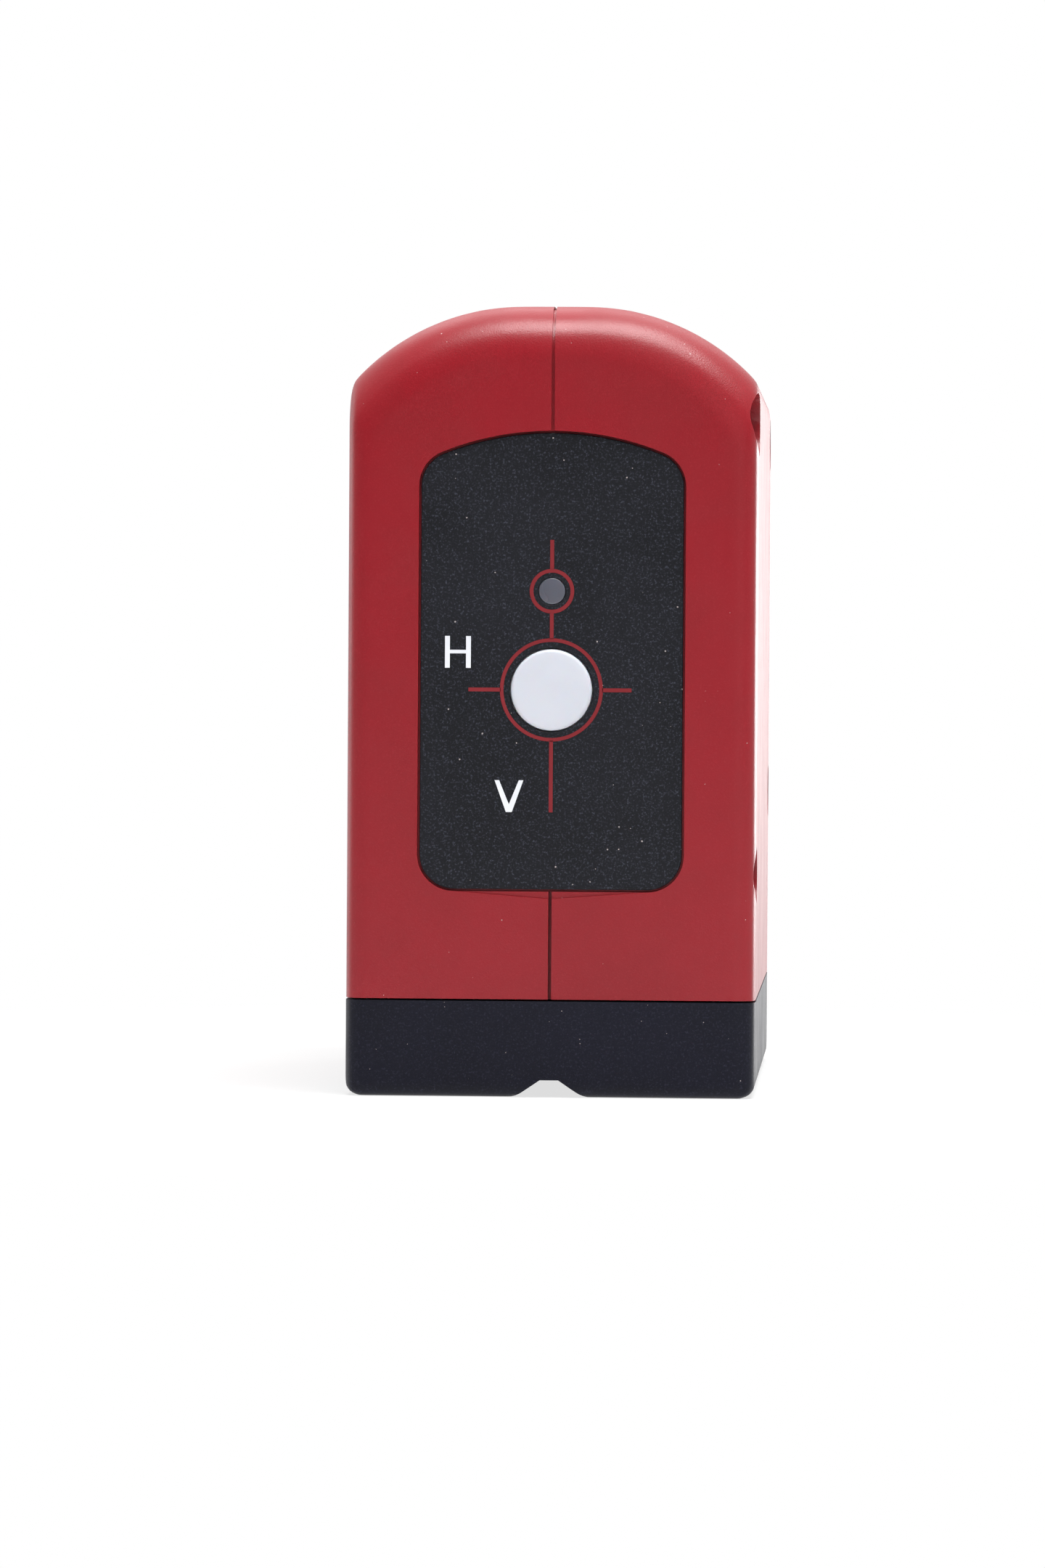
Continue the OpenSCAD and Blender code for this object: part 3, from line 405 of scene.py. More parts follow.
def ink(name, draw, x, z, slot):
    """A print that draw(bm) makes, standing on the panel at x, z."""
    bm = bmesh.new()
    draw(bm)
    bmesh.ops.transform(bm, matrix=upright(x, z), verts=bm.verts)
    return finished(name, raise_ink(bm), "case", slot)


# %% [markdown]
# ## Rings, cross and letters
# The rings lie round the key and the lamp. The cross stands for the two laser lines, so
# it runs through both and stops at each ring. The letters are plain strokes, because the
# font of a text object would bring its own curves and spacing.

# %% Rings and cross
LINE = 0.52  # mm, the width of a line
KEY_RING, LAMP_RING = (6.95, 6.47), (3.0, 2.5)  # mm, the outer and inner radius
KEY_END, LAMP_END = 6.85, 2.95  # mm, where a line meets a ring
up = (lamp_z - key_z) / MM
# each line by its two widths and two heights, in mm from the middle of the key
lines = {
    "top": (-LINE / 2, LINE / 2, up + LAMP_END, up + 6.9),
    "middle": (-LINE / 2, LINE / 2, KEY_END, up - LAMP_END),
    "bottom": (-LINE / 2, LINE / 2, -16.5, -KEY_END),
    "left": (-11.2, -KEY_END, -LINE / 2, LINE / 2),
    "right": (KEY_END, 10.8, -LINE / 2, LINE / 2),
}
red_prints = [
    ink("print_key_ring", lambda bm: ink_ring(bm, *KEY_RING), 0, key_z, "red_shell"),
    ink("print_lamp_ring", lambda bm: ink_ring(bm, *LAMP_RING), 0, lamp_z, "red_shell")]
for name, spans in lines.items():
    red_prints.append(ink("print_line_" + name, lambda bm: ink_bar(bm, *spans), 0, key_z,
                          "red_shell"))

# %% Letters
LETTER_TOP = 2.15  # mm, half the height of a letter
STROKE = 0.62 * MM
H_X, H_Z = -12.65 * MM, 5.05 * MM  # from the middle of the key
V_X, V_Z = -5.65 * MM, -14.35 * MM


def letter_h(bm):
    """Two posts and a bar between them, a little above the middle."""
    ink_bar(bm, -1.75, -1.09, -LETTER_TOP, LETTER_TOP)
    ink_bar(bm, 1.09, 1.75, -LETTER_TOP, LETTER_TOP)
    ink_bar(bm, -1.09, 1.09, -0.2, 0.28)
    bmesh.ops.remove_doubles(bm, verts=bm.verts, dist=WELD)


def letter_v(bm):
    """One outline: down to the foot and up again, then back along the inside."""
    half, foot, top = 1.95 * MM, 0.4 * MM, LETTER_TOP * MM
    crotch = -top + 1.05 * MM
    points = [(-half, top), (-half + STROKE, top), (0, crotch), (half - STROKE, top),
              (half, top), (foot, -top), (-foot, -top)]
    bm.faces.new([bm.verts.new((x, y, 0)) for x, y in points])


white_prints = [
    ink("print_letter_H", letter_h, H_X, key_z + H_Z, "key_white"),
    ink("print_letter_V", letter_v, V_X, key_z + V_Z, "key_white")]

# %% [markdown]
# ## Key and lamp
# The key is a turned form: a slightly crowned disc with a soft edge, a flange that
# holds it in, and a post that presses the switch. A profile spun round its axis gives
# all of that in one mesh. The lamp is a small light guide of the same kind.

# %% Turned pieces


def turned(name, profile, x, z, body, slot, replaces, segments=96):
    """Spins (radius, y) points, in mm, about an axis along Y through x, z."""
    bm = bmesh.new()
    points = [bm.verts.new((r * MM, y * MM, 0)) for r, y in profile]
    rims = [bm.edges.new(pair) for pair in zip(points, points[1:])]
    bmesh.ops.spin(bm, geom=points + rims, cent=(0, 0, 0), axis=(0, 1, 0), angle=2 * math.pi,
                   steps=segments, use_merge=True, use_duplicate=False)
    bmesh.ops.remove_doubles(bm, verts=bm.verts, dist=WELD)
    bmesh.ops.recalc_face_normals(bm, faces=bm.faces)
    bmesh.ops.translate(bm, verts=bm.verts, vec=(x, 0, z))
    return finished(name, bm, body, slot, replaces)


def rounded_rim(radius, y, r, steps=6):
    """Quarter-round from the face at y to the side at radius."""
    return [(radius - r + r * math.sin(a), y + r - r * math.cos(a))
            for a in (math.pi / 2 * i / steps for i in range(steps + 1))]


# %% Key and lamp
KEY_RADIUS, LAMP_RADIUS = 5.5, 1.8  # mm
FLANGE_FRONT, FLANGE_BACK = -45.7, -44.9  # mm along Y, where a flange sits in the shell

face, key_back = key_low.y / MM, key_high.y / MM
crown = [(0, face), (1.5, face + 0.005), (3, face + 0.02), (4.2, face + 0.05)]
flange = [(KEY_RADIUS, FLANGE_FRONT), (KEY_RADIUS + 1, FLANGE_FRONT),
          (KEY_RADIUS + 1, FLANGE_BACK)]
post = [(2.2, FLANGE_BACK), (2, FLANGE_BACK + 0.3), (2, key_back), (0, key_back)]
key_profile = crown + rounded_rim(KEY_RADIUS, face + 0.07, 0.55) + flange + post
turned("press_key", key_profile, 0, key_z, "key", "key_white", ["key_cap"])

lamp_face, lamp_back = lamp_low.y / MM, lamp_high.y / MM
lamp_profile = ([(0, lamp_face)] + rounded_rim(LAMP_RADIUS, lamp_face, 0.2)
                + [(LAMP_RADIUS, FLANGE_FRONT), (2.5, FLANGE_FRONT), (2.5, lamp_back),
                   (0, lamp_back)])
turned("lamp_light_guide", lamp_profile, 0, lamp_z, "case", "lamp_grey", ["lamp_window"], 48)

# %% [markdown]
# ## Tripod thread
# A tripod screws into a brass insert in the base. A helix would be truer, but the turns
# of such a fine thread look the same as rings, and rings are spun with the rest of the
# insert from one profile. It is turned about Y like the key and then stood upright.

# %% Tripod thread
THREAD_PITCH = 1.27  # mm
THREAD_ROOT, THREAD_CREST = 3.15, 2.7  # mm from the axis
BORE, MOUTH, INSERT_RADIUS = 3.17, 3.5, 4.75  # mm

insert_low, insert_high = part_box("tripod_insert")
bottom, top = insert_low.z / MM, insert_high.z / MM
turns = int((top - bottom - 1.2) / THREAD_PITCH)
thread = [(BORE, bottom + 0.3)]
for i in range(turns):
    y = bottom + 0.5 + i * THREAD_PITCH
    thread += [(THREAD_ROOT, y), (THREAD_CREST, y + 0.5), (THREAD_CREST, y + 0.68),
               (THREAD_ROOT, y + 1.18)]
profile = ([(MOUTH, bottom), (4.5, bottom), (INSERT_RADIUS, bottom + 0.25),
            (INSERT_RADIUS, top), (BORE, top)] + thread[::-1] + [(MOUTH, bottom)])
insert = turned("tripod_thread_insert", profile, 0, 0, "case", "brass", [], 64)
insert.data.transform(Matrix.Rotation(math.pi / 2, 4, "X"))
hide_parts("tripod_insert")
print("turns of the thread", turns)

# %% [markdown]
# ## Bezel, door and thumb slide
# The window's bezel, the battery door and the slide that locks the pendulum are simple
# mouldings whose CAD shape is right. Each one only gets its edges broken.

# %% Bezel, door and thumb slide
for name, node, width, segments in (("window_frame", "window_bezel", 0.3, 3),
                                    ("battery_hatch", "battery_door", 0.2, 2),
                                    ("lock_slide_thumb", "lock_thumb", 0.18, 2)):
    eased_copy(name, node, width * MM, segments)

# %% [markdown]
# ## Battery cells
# An AA cell is a steel can in a thin plastic sleeve that is shrunk over both ends. Its
# can and sleeve are turned from profiles like the key, each with its own finish. The
# two cells lie opposite ways round, as their contacts ask.

# %% Battery cells
CELL_RADIUS, NUB_RADIUS = 7.25, 2.75  # mm
SLEEVE = 0.12  # mm, the thickness of the sleeve
for name, outwards in (("cell_left", True), ("cell_right", False)):
    low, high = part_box(name)
    x, z = (low.x + high.x) / 2, (low.z + high.z) / 2
    start, way = (low.y / MM, 1) if outwards else (high.y / MM, -1)
    length = (high.y - low.y) / MM
    r = CELL_RADIUS - SLEEVE
    can = [(0, 0.25), (3.4, 0.25), (3.7, 0), (r - 0.7, 0), (r, 0.5), (r, length - 1.9),
           (r - 0.6, length - 1.3), (4.6, length - 1.3), (4.3, length - 1),
           (NUB_RADIUS + 0.1, length - 1), (NUB_RADIUS, length - 0.25),
           (NUB_RADIUS - 0.25, length), (0, length)]
    sleeve = [(5.6, -0.001), (r + 0.02, 0.02), (CELL_RADIUS, 0.5), (CELL_RADIUS, length - 1.6),
              (r - 0.3, length - 1.06), (5.2, length - 1.02), (5.2, length - 1.25),
              (r - 0.5, length - 1.28), (r - 0.05, length - 1.9), (r - 0.05, 0.5),
              (r - 0.6, 0.03), (5.6, 0.03), (5.6, -0.001)]
    for kind, profile, slot, gone in (("can", can, "steel", []),
                                      ("sleeve", sleeve, "cell_wrap", [name])):
        placed = [(radius, start + way * y) for radius, y in profile]
        turned(name + "_" + kind, placed, x, z, "case", slot, gone, 64)

# %% [markdown]
# ## Springs and leads
# The contact springs and the leads are round wire, but the CAD model has them in flat
# facets. Their shape is kept, and a welded copy of each is shaded as if it were round.

# %% Springs and leads
WIRE_ANGLE = math.radians(75)
for name, node in (("inner_spring", "spring_contact"), ("hatch_springs", "door_contact"),
                   ("leads", "battery_leads")):
    finished(name, welded(node), nodes[node]["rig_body"], slots[node], [node], WIRE_ANGLE)

# %% [markdown]
# ## Effects that several finishes share
# Moulded plastic has a fine spark-eroded grain, and every part of a used tool picks up
# a little dust and some faint smears. Each effect is a node group that is built once
# and gives out a height or a mask, so a material decides what it does with it. All
# patterns read object coordinates in millimetres, so they stay put as parts move.

# %% Wiring helpers


class Wiring:
    """Short calls for adding nodes to a tree and linking them."""

    def __init__(self, tree):
        self.tree = tree

    def add(self, kind, **settings):
        """A new node, with its settings."""
        made = self.tree.nodes.new("ShaderNode" + kind)
        for key, value in settings.items():
            setattr(made, key, value)
        return made

    def link(self, source, target):
        self.tree.links.new(source, target)

    def math(self, operation, a, b=0.0):
        """The result of one operation on two numbers or outputs."""
        made = self.add("Math", operation=operation)
        for socket, value in zip(made.inputs, (a, b)):
            if isinstance(value, (int, float)):
                socket.default_value = value
            else:
                self.link(value, socket)
        return made.outputs[0]

    def noise(self, vector, scale, detail=2.0, rough=0.5):
        """Soft noise from 0 to 1, whose scale may be an output too."""
        made = self.add("TexNoise")
        for key, value in (("Scale", scale), ("Detail", detail), ("Roughness", rough)):
            if isinstance(value, (int, float)):
                made.inputs[key].default_value = value
            else:
                self.link(value, made.inputs[key])
        self.link(vector, made.inputs["Vector"])
        return made.outputs["Fac"]

    def step(self, value, low, high, to_low=0.0, to_high=1.0):
        """A smooth step between two numbers, while value goes from low to high."""
        made = self.add("MapRange", interpolation_type="SMOOTHSTEP")
        self.link(value, made.inputs[0])
        for i, number in enumerate((low, high, to_low, to_high), 1):
            made.inputs[i].default_value = number
        return made.outputs[0]


def node_group(name, inputs, outputs):
    """A shader group with float or vector inputs and its outputs, and a link helper."""
    group = bpy.data.node_groups.new(name, "ShaderNodeTree")
    for label, kind, value in inputs:
        socket = group.interface.new_socket(label, in_out="INPUT", socket_type="NodeSocket" + kind)
        if value is not None:
            socket.default_value = value
    for label in outputs:
        group.interface.new_socket(label, in_out="OUTPUT", socket_type="NodeSocketFloat")
    return group, Wiring(group)


# %% [markdown]
# ## Moulded grain
# A mould for plastic is spark-eroded, which leaves a fine even grain. Noise gives its
# soft part and small cells its pits. A slow tone and bright flecks come along with it,
# because a real moulding is never quite one colour.

# %% Grain


def grain_group():
    """Spark-eroded grain: Height for a bump, Tone for slow changes, Fleck for fine ones."""
    group, w = node_group("Moulded grain", [("Vector", "Vector", None), ("Grain", "Float", 3.0)],
                          ["Height", "Tone", "Fleck"])
    enter, leave = w.tree.nodes.new("NodeGroupInput"), w.tree.nodes.new("NodeGroupOutput")
    fine = w.noise(enter.outputs["Vector"], enter.outputs["Grain"], 3, 0.6)
    pits = w.add("TexVoronoi", feature="SMOOTH_F1")
    w.link(enter.outputs["Vector"], pits.inputs["Vector"])
    w.link(w.math("MULTIPLY", enter.outputs["Grain"], 1.6), pits.inputs["Scale"])
    mixed = w.math("ADD", fine, w.math("MULTIPLY", pits.outputs["Distance"], 0.5))
    w.link(mixed, leave.inputs["Height"])
    w.link(w.noise(enter.outputs["Vector"], 0.06, 3, 0.6), leave.inputs["Tone"])
    w.link(w.step(w.noise(enter.outputs["Vector"], 3.4, 2, 0.7), 0.5, 0.8), leave.inputs["Fleck"])
    return group


# %% [markdown]
# ## Dust
# Real dust is sparse and of mixed size. Each cell of a cell pattern draws a random
# number that says whether it holds a speck, and another that says how big it is. A
# little noise in the coordinates keeps the specks from being round.

# %% Dust


def dust_group():
    """Sparse specks: a random share of cells holds one, and each has its own size."""
    group, w = node_group("Dust specks", [("Vector", "Vector", None), ("Scale", "Float", 0.4),
                                          ("Size", "Float", 0.05), ("Share", "Float", 0.3)],
                          ["Mask"])
    enter, leave = w.tree.nodes.new("NodeGroupInput"), w.tree.nodes.new("NodeGroupOutput")
    wobble = w.add("VectorMath", operation="ADD")
    shake = w.add("TexNoise")
    shake.inputs["Scale"].default_value = 3
    shift = w.add("VectorMath", operation="SCALE")
    shift.inputs["Scale"].default_value = 0.12
    w.link(enter.outputs["Vector"], shake.inputs["Vector"])
    w.link(shake.outputs["Color"], shift.inputs[0])
    w.link(enter.outputs["Vector"], wobble.inputs[0])
    w.link(shift.outputs[0], wobble.inputs[1])
    cells = w.add("TexVoronoi", feature="F1")
    w.link(wobble.outputs[0], cells.inputs["Vector"])
    w.link(enter.outputs["Scale"], cells.inputs["Scale"])
    chance = w.add("SeparateColor")
    w.link(cells.outputs["Color"], chance.inputs[0])
    chosen = w.math("LESS_THAN", chance.outputs[0], enter.outputs["Share"])
    reach = w.math("MULTIPLY", enter.outputs["Size"], chance.outputs[1])
    near = w.math("LESS_THAN", cells.outputs["Distance"], reach)
    w.link(w.math("MULTIPLY", chosen, near), leave.inputs["Mask"])
    return group


# %% [markdown]
# ## Smears and machining lines
# Hands leave broad faint smears, which are slow noise above a threshold. A machined
# metal part has fine lines instead, which are noise that is squeezed along Y.

# %% Smears and machining lines


def rub_group():
    """Handling marks: broad smears that dull the shine where they are added to it."""
    group, w = node_group("Rub marks", [("Vector", "Vector", None)], ["Smear"])
    enter, leave = w.tree.nodes.new("NodeGroupInput"), w.tree.nodes.new("NodeGroupOutput")
    w.link(w.step(w.noise(enter.outputs["Vector"], 0.11, 4, 0.65), 0.45, 0.75),
           leave.inputs["Smear"])
    return group


def lathe_group():
    """Fine lines that run across the Y axis, like those that turning leaves."""
    group, w = node_group("Machining lines", [("Vector", "Vector", None)], ["Height"])
    enter, leave = w.tree.nodes.new("NodeGroupInput"), w.tree.nodes.new("NodeGroupOutput")
    stretch = w.add("Mapping")
    stretch.inputs["Scale"].default_value = (0.25, 9.0, 0.25)
    w.link(enter.outputs["Vector"], stretch.inputs["Vector"])
    w.link(w.noise(stretch.outputs[0], 1.0, 3, 0.6), leave.inputs["Height"])
    return group


GROUPS = {"grain": grain_group(), "dust": dust_group(), "rub": rub_group(), "lathe": lathe_group()}
print("groups", [g.name for g in GROUPS.values()])

# %% [markdown]
# ## Finishes
# Every finish is one Principled material. A helper lays the shared effects over it:
# grain into the bump, smears into the roughness, flecks and dust into the colour.
# Numbers that are the same everywhere go straight on the shader's sockets.

# %% Material helper


def srgb(r, g, b):
    """A colour given as 0 to 255, in the linear values that the shader wants."""
    def linear(c):
        c /= 255
        return c / 12.92 if c <= 0.04045 else ((c + 0.055) / 1.055) ** 2.4
    return (linear(r), linear(g), linear(b), 1)


DUST_COLOUR = srgb(214, 202, 200)
FINISHES = {}
DEFAULT_GRAIN = 3.0
DUST_COVER = 0.6  # how much of the colour under it a speck hides


def finish_of(name, colour, second, rough, grain=None, bump=0.05, fleck=None, dust=None,
              rub=0.0, lathe=0.0, pattern=None, **sockets):
    """Adds a Principled material to the finishes.

    colour and second are mixed by the slow tone, or by pattern, and rough is a pair that
    the tone runs between. grain is the grain's scale and bump its depth in mm, fleck is
    a colour and an amount, and dust is the scale, size and share of its specks.
    """
    material = bpy.data.materials.new(name)
    material.use_nodes = True
    w = Wiring(material.node_tree)
    shader = w.tree.nodes["Principled BSDF"]
    for key, value in sockets.items():
        shader.inputs[key.replace("_", " ")].default_value = value
    place = w.add("TexCoord")
    in_mm = w.add("Mapping")
    in_mm.inputs["Scale"].default_value = (1 / MM,) * 3
    w.link(place.outputs["Object"], in_mm.inputs["Vector"])
    vector = in_mm.outputs[0]

    def effect(kind, **values):
        made = w.add("Group", node_tree=GROUPS[kind])
        w.link(vector, made.inputs["Vector"])
        for key, value in values.items():
            made.inputs[key].default_value = value
        return made.outputs

    grained = effect("grain", Grain=grain or DEFAULT_GRAIN)
    tone = w.step(grained["Tone"], 0.3, 0.7)
    mix = w.add("Mix", data_type="RGBA")
    mix.inputs["A"].default_value = colour
    mix.inputs["B"].default_value = second
    w.link(pattern(w, vector) if pattern else tone, mix.inputs["Factor"])
    shade = mix.outputs["Result"]

    def laid_over(under, colour, mask, amount):
        over = w.add("Mix", data_type="RGBA")
        over.inputs["B"].default_value = colour
        w.link(under, over.inputs["A"])
        w.link(w.math("MULTIPLY", mask, amount), over.inputs["Factor"])
        return over.outputs["Result"]

    if fleck:
        shade = laid_over(shade, fleck[0], grained["Fleck"], fleck[1])
    if dust:
        specks = effect("dust", Scale=dust[0], Size=dust[1], Share=dust[2])["Mask"]
        shade = laid_over(shade, DUST_COLOUR, specks, DUST_COVER)
    w.link(shade, shader.inputs["Base Color"])
    roughness = w.step(tone, 0, 1, *rough)
    if rub:
        smear = effect("rub")["Smear"]
        roughness = w.math("ADD", roughness, w.math("MULTIPLY", smear, rub))
    w.link(roughness, shader.inputs["Roughness"])
    heights = []
    if grain:
        heights.append((grained["Height"], bump))
    if lathe:
        heights.append((effect("lathe")["Height"], lathe))
    normal = None
    for height, depth in heights:
        relief = w.add("Bump")
        relief.inputs["Strength"].default_value = 1
        relief.inputs["Distance"].default_value = depth * MM
        w.link(height, relief.inputs["Height"])
        if normal:
            w.link(normal, relief.inputs["Normal"])
        normal = relief.outputs[0]
    if normal:
        w.link(normal, shader.inputs["Normal"])
    FINISHES[name] = material


# %% [markdown]
# ## Patterns
# Three finishes have a drawing of their own in place of the slow tone: the copper
# tracks on the board, the coloured band of a cell, and the two colours of the leads.
# Each is a mask that is worked out from the place on the part.

# %% Patterns for the board, the cells and the leads
BAND_START, BAND_END = 31, 2.5  # mm along Y, on the left and on the right cell


def board_traces(w, vector):
    """Copper tracks under solder mask: the outlines of a brick grid, slightly lighter."""
    flat = w.add("Mapping")
    flat.inputs["Rotation"].default_value = (math.pi / 2, 0, 0)
    w.link(vector, flat.inputs["Vector"])
    bricks = w.add("TexBrick")
    bricks.inputs["Scale"].default_value = 0.35
    bricks.inputs["Mortar Size"].default_value = 0.06
    w.link(flat.outputs[0], bricks.inputs["Vector"])
    return bricks.outputs["Fac"]


def cell_band(w, vector):
    """The coloured band next to the nub, at opposite ends of the two cells."""
    apart = w.add("SeparateXYZ")
    w.link(vector, apart.inputs[0])
    left = w.math("LESS_THAN", apart.outputs["X"], 0)
    outer = w.math("GREATER_THAN", apart.outputs["Y"], BAND_START)
    inner = w.math("LESS_THAN", apart.outputs["Y"], BAND_END)
    on_left = w.math("MULTIPLY", left, outer)
    on_right = w.math("MULTIPLY", w.math("SUBTRACT", 1, left), inner)
    return w.math("ADD", on_left, on_right)


def lead_sides(w, vector):
    """Splits the pair of leads by side: one is black, the other red."""
    apart = w.add("SeparateXYZ")
    w.link(vector, apart.inputs[0])
    return w.math("GREATER_THAN", apart.outputs["X"], 0)


# %% [markdown]
# ## Outer plastics
# The shells, the base and the panel are moulded plastic with a fine grain and a low
# shine. Their colours are kept deep, because the lights add a haze of their own. The
# key and the lamp let a little light in, so they get a touch of scattering.

# %% Outer plastics
finish_of("red_shell", srgb(143, 19, 31), srgb(136, 16, 27), rough=(0.32, 0.38), grain=4.5,
          bump=0.018, fleck=(srgb(166, 46, 56), 0.3), dust=(1.25, 0.14, 0.1), rub=0.05,
          Specular_IOR_Level=0.42)
finish_of("label_black", srgb(18, 19, 24), srgb(23, 24, 30), rough=(0.5, 0.6), grain=3.2, bump=0.03,
          fleck=(srgb(92, 96, 112), 0.5), dust=(1.3, 0.16, 0.16), rub=0.05, Specular_IOR_Level=0.2)
finish_of("base_black", srgb(9, 10, 25), srgb(13, 14, 30), rough=(0.38, 0.46), grain=4.0,
          bump=0.016, fleck=(srgb(62, 64, 84), 0.36), dust=(1.2, 0.13, 0.1), rub=0.06,
          Specular_IOR_Level=0.22)
finish_of("black_plastic", srgb(30, 30, 34), srgb(36, 36, 40), rough=(0.38, 0.46), grain=4.0,
          bump=0.012, dust=(0.2, 0.03, 0.15), rub=0.08)
finish_of("key_white", srgb(210, 213, 222), srgb(203, 206, 216), rough=(0.3, 0.36), grain=5.0,
          bump=0.004, rub=0.05, Subsurface_Weight=0.15, Subsurface_Scale=0.001)
finish_of("lamp_grey", srgb(96, 97, 108), srgb(84, 85, 96), rough=(0.22, 0.3), grain=3.0,
          bump=0.006, Subsurface_Weight=0.3, Subsurface_Scale=0.001)
finish_of("led_clear", srgb(236, 236, 226), srgb(228, 228, 216), rough=(0.08, 0.14),
          Transmission_Weight=0.6, IOR=1.5)
print("finishes so far", len(FINISHES))

# %% [markdown]
# ## Metals
# Machined metals carry fine lines and the cast one a coarse grain, while the plated
# magnets are smooth. A metal's colour is that of its reflections, so it stays even.

# %% Metals
finish_of("dark_screw", srgb(58, 58, 62), srgb(44, 44, 48), rough=(0.32, 0.45), grain=2.5,
          bump=0.01, lathe=0.006, Metallic=0.85)
finish_of("steel", srgb(186, 188, 193), srgb(170, 171, 176), rough=(0.26, 0.38), lathe=0.008,
          rub=0.08, Metallic=1.0)
finish_of("brass", srgb(196, 158, 84), srgb(178, 139, 70), rough=(0.26, 0.38), lathe=0.008,
          rub=0.08, Metallic=1.0)
finish_of("copper", srgb(196, 118, 86), srgb(172, 96, 70), rough=(0.28, 0.42), lathe=0.006, rub=0.1,
          Metallic=1.0)
finish_of("diode_gold", srgb(220, 182, 104), srgb(204, 166, 92), rough=(0.16, 0.24), lathe=0.004,
          Metallic=1.0)
finish_of("cast_alloy", srgb(168, 170, 174), srgb(148, 150, 155), rough=(0.48, 0.62), grain=1.6,
          bump=0.04, rub=0.06, Metallic=0.9)
finish_of("magnet_nickel", srgb(198, 196, 194), srgb(186, 184, 180), rough=(0.1, 0.2), rub=0.12,
          Metallic=1.0)
print("finishes so far", len(FINISHES))

# %% [markdown]
# ## Board, rubber and glass
# The board's lacquer is glossy over its tracks, and its components are dull. Rubber is
# the roughest finish of all and glass the smoothest.

# %% Board, rubber and glass
finish_of("board_green", srgb(26, 96, 58), srgb(42, 122, 76), rough=(0.3, 0.38),
          pattern=board_traces)
finish_of("component_black", srgb(36, 36, 38), srgb(50, 50, 52), rough=(0.5, 0.6), grain=5.0,
          bump=0.02)
finish_of("rubber_black", srgb(28, 28, 29), srgb(36, 36, 37), rough=(0.7, 0.82), grain=2.2,
          bump=0.03, dust=(0.5, 0.04, 0.2))
finish_of("window_clear", (0.93, 0.97, 0.98, 1), (0.91, 0.96, 0.97, 1), rough=(0.0, 0.02), rub=0.04,
          Transmission_Weight=1.0, IOR=1.49)
finish_of("lens_glass", (0.95, 0.98, 1.0, 1), (0.94, 0.97, 0.99, 1), rough=(0.0, 0.01),
          Transmission_Weight=1.0, IOR=1.52)
finish_of("cell_wrap", srgb(34, 36, 42), srgb(186, 128, 76), rough=(0.2, 0.3), pattern=cell_band,
          rub=0.08, Coat_Weight=0.4, Coat_Roughness=0.1)
finish_of("lead_insulation", srgb(26, 26, 28), srgb(158, 32, 30), rough=(0.42, 0.52), grain=3.0,
          bump=0.006, pattern=lead_sides)
print("finishes so far", len(FINISHES))

# %% [markdown]
# ## Inks
# Screen-printed ink lies on the panel and takes on its grain. It is matt, and it has no
# slot of its own, so the prints get it directly.

# %% Inks
finish_of("red_ink", srgb(132, 40, 46), srgb(124, 35, 41), rough=(0.5, 0.6), grain=3.2, bump=0.02,
          Specular_IOR_Level=0.2)
finish_of("white_ink", srgb(232, 234, 240), srgb(224, 226, 233), rough=(0.5, 0.6), grain=3.2,
          bump=0.02, Specular_IOR_Level=0.2)
for prints, name in ((red_prints, "red_ink"), (white_prints, "white_ink")):
    for piece in prints:
        piece.data.materials.append(FINISHES[name])
print("prints inked", len(red_prints + white_prints))

# %% [markdown]
# ## Handing out the finishes
# A CAD node and a new piece both name the slot that their finish comes from. One loop
# over the scene gives each of them its material, so no piece is left in plain grey.

# %% Hand out the finishes
given = 0
for obj in list(scene.objects):
    if obj.type != "MESH" or "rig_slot" in obj and obj.data.materials:
        continue
    wanted = obj.get("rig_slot") or slots.get(obj.get("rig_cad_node"))
    if not wanted:
        continue
    if obj.material_slots:
        for place in obj.material_slots:
            place.material = FINISHES[wanted]
    else:
        obj.data.materials.append(FINISHES[wanted])
    given += 1
print("objects given a finish", given)

# %% [markdown]
# ## Floor
# The tool stands on a plain white table. The floor is matt near it, so that it takes a
# soft shadow, and fades into the white of the backdrop further out. A glowing floor
# would hide the shadow, so only the far part glows, and only for rays that come straight
# from the camera or through glass. In a glossy surface the floor is white behind the
# tool and dim in front of it, like the room that the camera stands in.

# %% Floor
FLOOR_PAINT = 0.92
FLOOR_RADIUS = 0.6
FADE_START, FADE_END, GLOW_NEAR = 0.07, 0.2, 0.72  # metres from the middle, then a share
FRONT_END, FRONT_START, FRONT_GLOW = -0.1, -0.05, 0.06  # metres along Y, then a share
WHITE = (1, 1, 1, 1)


def bare_material(name):
    """A material with an empty node tree, and its wiring."""
    material = bpy.data.materials.new(name)
    material.use_nodes = True
    material.node_tree.nodes.clear()
    return material, Wiring(material.node_tree)


def seen_directly(w):
    """1 for rays from the camera or through glass, and 1 for rays from a glossy surface."""
    path = w.add("LightPath")
    plain = w.math("MAXIMUM", path.outputs["Is Camera Ray"], path.outputs["Is Transmission Ray"])
    return plain, path.outputs["Is Glossy Ray"]


def mixed_shaders(w, share, first, second):
    """The output of a mix shader, whose share of the second input is linked."""
    mix = w.add("MixShader")
    for socket, source in zip(mix.inputs, (share, first, second)):
        w.link(source, socket)
    return mix.outputs[0]


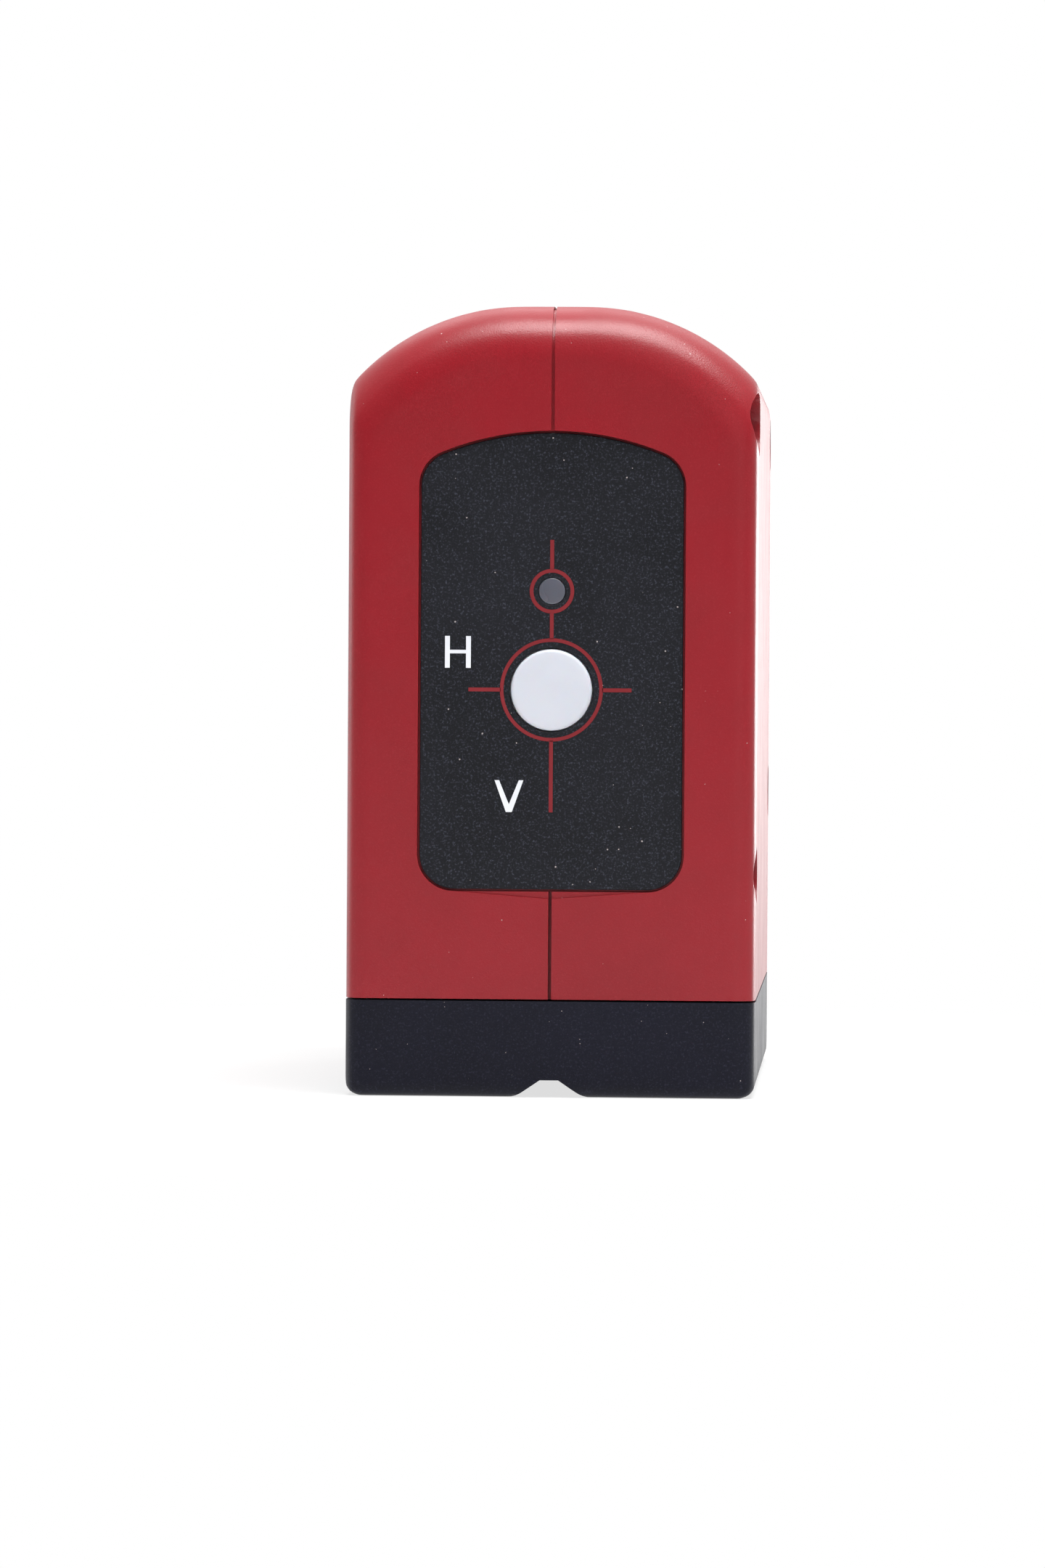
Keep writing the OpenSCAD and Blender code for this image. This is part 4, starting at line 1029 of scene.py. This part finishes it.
floor_look, w = bare_material("pale_floor")
matt = w.add("BsdfDiffuse")
matt.inputs["Color"].default_value = (FLOOR_PAINT, FLOOR_PAINT, FLOOR_PAINT, 1)
glow = w.add("Emission")
glow.inputs["Color"].default_value = WHITE
place = w.add("TexCoord")
distance = w.add("VectorMath", operation="LENGTH")
w.link(place.outputs["Object"], distance.inputs[0])
far = w.step(distance.outputs["Value"], FADE_START, FADE_END, GLOW_NEAR, 1.0)
plain, glossy = seen_directly(w)
apart = w.add("SeparateXYZ")
w.link(place.outputs["Object"], apart.inputs[0])
behind = w.step(apart.outputs["Y"], FRONT_END, FRONT_START, FRONT_GLOW, 1.0)
fade = w.math("MAXIMUM", w.math("MULTIPLY", far, plain), w.math("MULTIPLY", behind, glossy))
blend = mixed_shaders(w, fade, matt.outputs[0], glow.outputs[0])
w.link(blend, w.add("OutputMaterial").inputs["Surface"])

bm = bmesh.new()
bmesh.ops.create_circle(bm, cap_ends=True, segments=96, radius=FLOOR_RADIUS)
mesh = bpy.data.meshes.new("floor")
bm.to_mesh(mesh)
bm.free()
mesh.materials.append(floor_look)
floor = bpy.data.objects.new("floor", mesh)
scene.collection.objects.link(floor)
print("floor radius in m", FLOOR_RADIUS)

# %% [markdown]
# ## Backdrop
# The world is the backdrop. The camera sees it as pure white, but as a light it is much
# weaker, or it would wash the colours out. Glossy surfaces see it white too, except
# towards the dim room that the camera stands in, which keeps haze off the front.

# %% World
WORLD_LIGHT = 0.22
ROOM_LIGHT = 0.05  # what a glossy surface sees straight towards the room
ROOM_FROM, ROOM_TO = -1.05, 0.05  # along Y of the direction, from full room to none


def background(w, strength=None):
    """A white background shader of one strength, or of the default one if none is given."""
    made = w.add("Background")
    made.inputs["Color"].default_value = WHITE
    if strength is not None:
        made.inputs["Strength"].default_value = strength
    return made


world = bpy.data.worlds.new("studio")
scene.world = world
world.use_nodes = True
world.node_tree.nodes.clear()
w = Wiring(world.node_tree)
backdrop, ambient, mirrored = background(w, 1), background(w, WORLD_LIGHT), background(w)
place = w.add("TexCoord")
apart = w.add("SeparateXYZ")
w.link(place.outputs["Generated"], apart.inputs[0])
w.link(w.step(apart.outputs["Y"], ROOM_FROM, ROOM_TO, ROOM_LIGHT, 1.0),
       mirrored.inputs["Strength"])
plain, glossy = seen_directly(w)
shown = mixed_shaders(w, glossy, ambient.outputs[0], mirrored.outputs[0])
picked = mixed_shaders(w, plain, shown, backdrop.outputs[0])
w.link(picked, w.add("OutputWorld").inputs["Surface"])
print("world light", WORLD_LIGHT)

# %% [markdown]
# ## Lamps
# A long soft lamp above draws the band along the arched top, and a bigger one behind it
# lifts the shoulders. Two side lamps draw the upright edges, and a weak one in front
# keeps the panel readable. The right one is low and small, because a tall one would be
# mirrored in the top as a burnt-out patch.

# %% Lamps
body_centre = (cad_box[0] + cad_box[1]) / 2


def softbox(name, place, size, watts):
    """An area lamp that faces the middle of the tool."""
    light = bpy.data.lights.new(name, "AREA")
    light.shape = "RECTANGLE"
    light.size, light.size_y = size
    light.energy = watts
    obj = bpy.data.objects.new(name, light)
    obj.location = place
    obj.rotation_euler = (Vector(place) - body_centre).to_track_quat("Z", "Y").to_euler()
    obj.visible_camera = False
    scene.collection.objects.link(obj)
    print(name, watts, "W")


softbox("top_softbox", (0.09, -0.20, 0.67), (0.46, 0.30), 6.8)
softbox("sky_softbox", (0.0, 0.42, 0.75), (0.80, 0.60), 2.3)
softbox("right_softbox", (0.40, 0.62, 0.10), (0.26, 0.20), 1.7)
softbox("left_softbox", (-0.60, 0.20, 0.16), (0.40, 0.50), 1.1)
softbox("front_softbox", (0.32, -0.95, 0.30), (0.50, 0.50), 0.5)
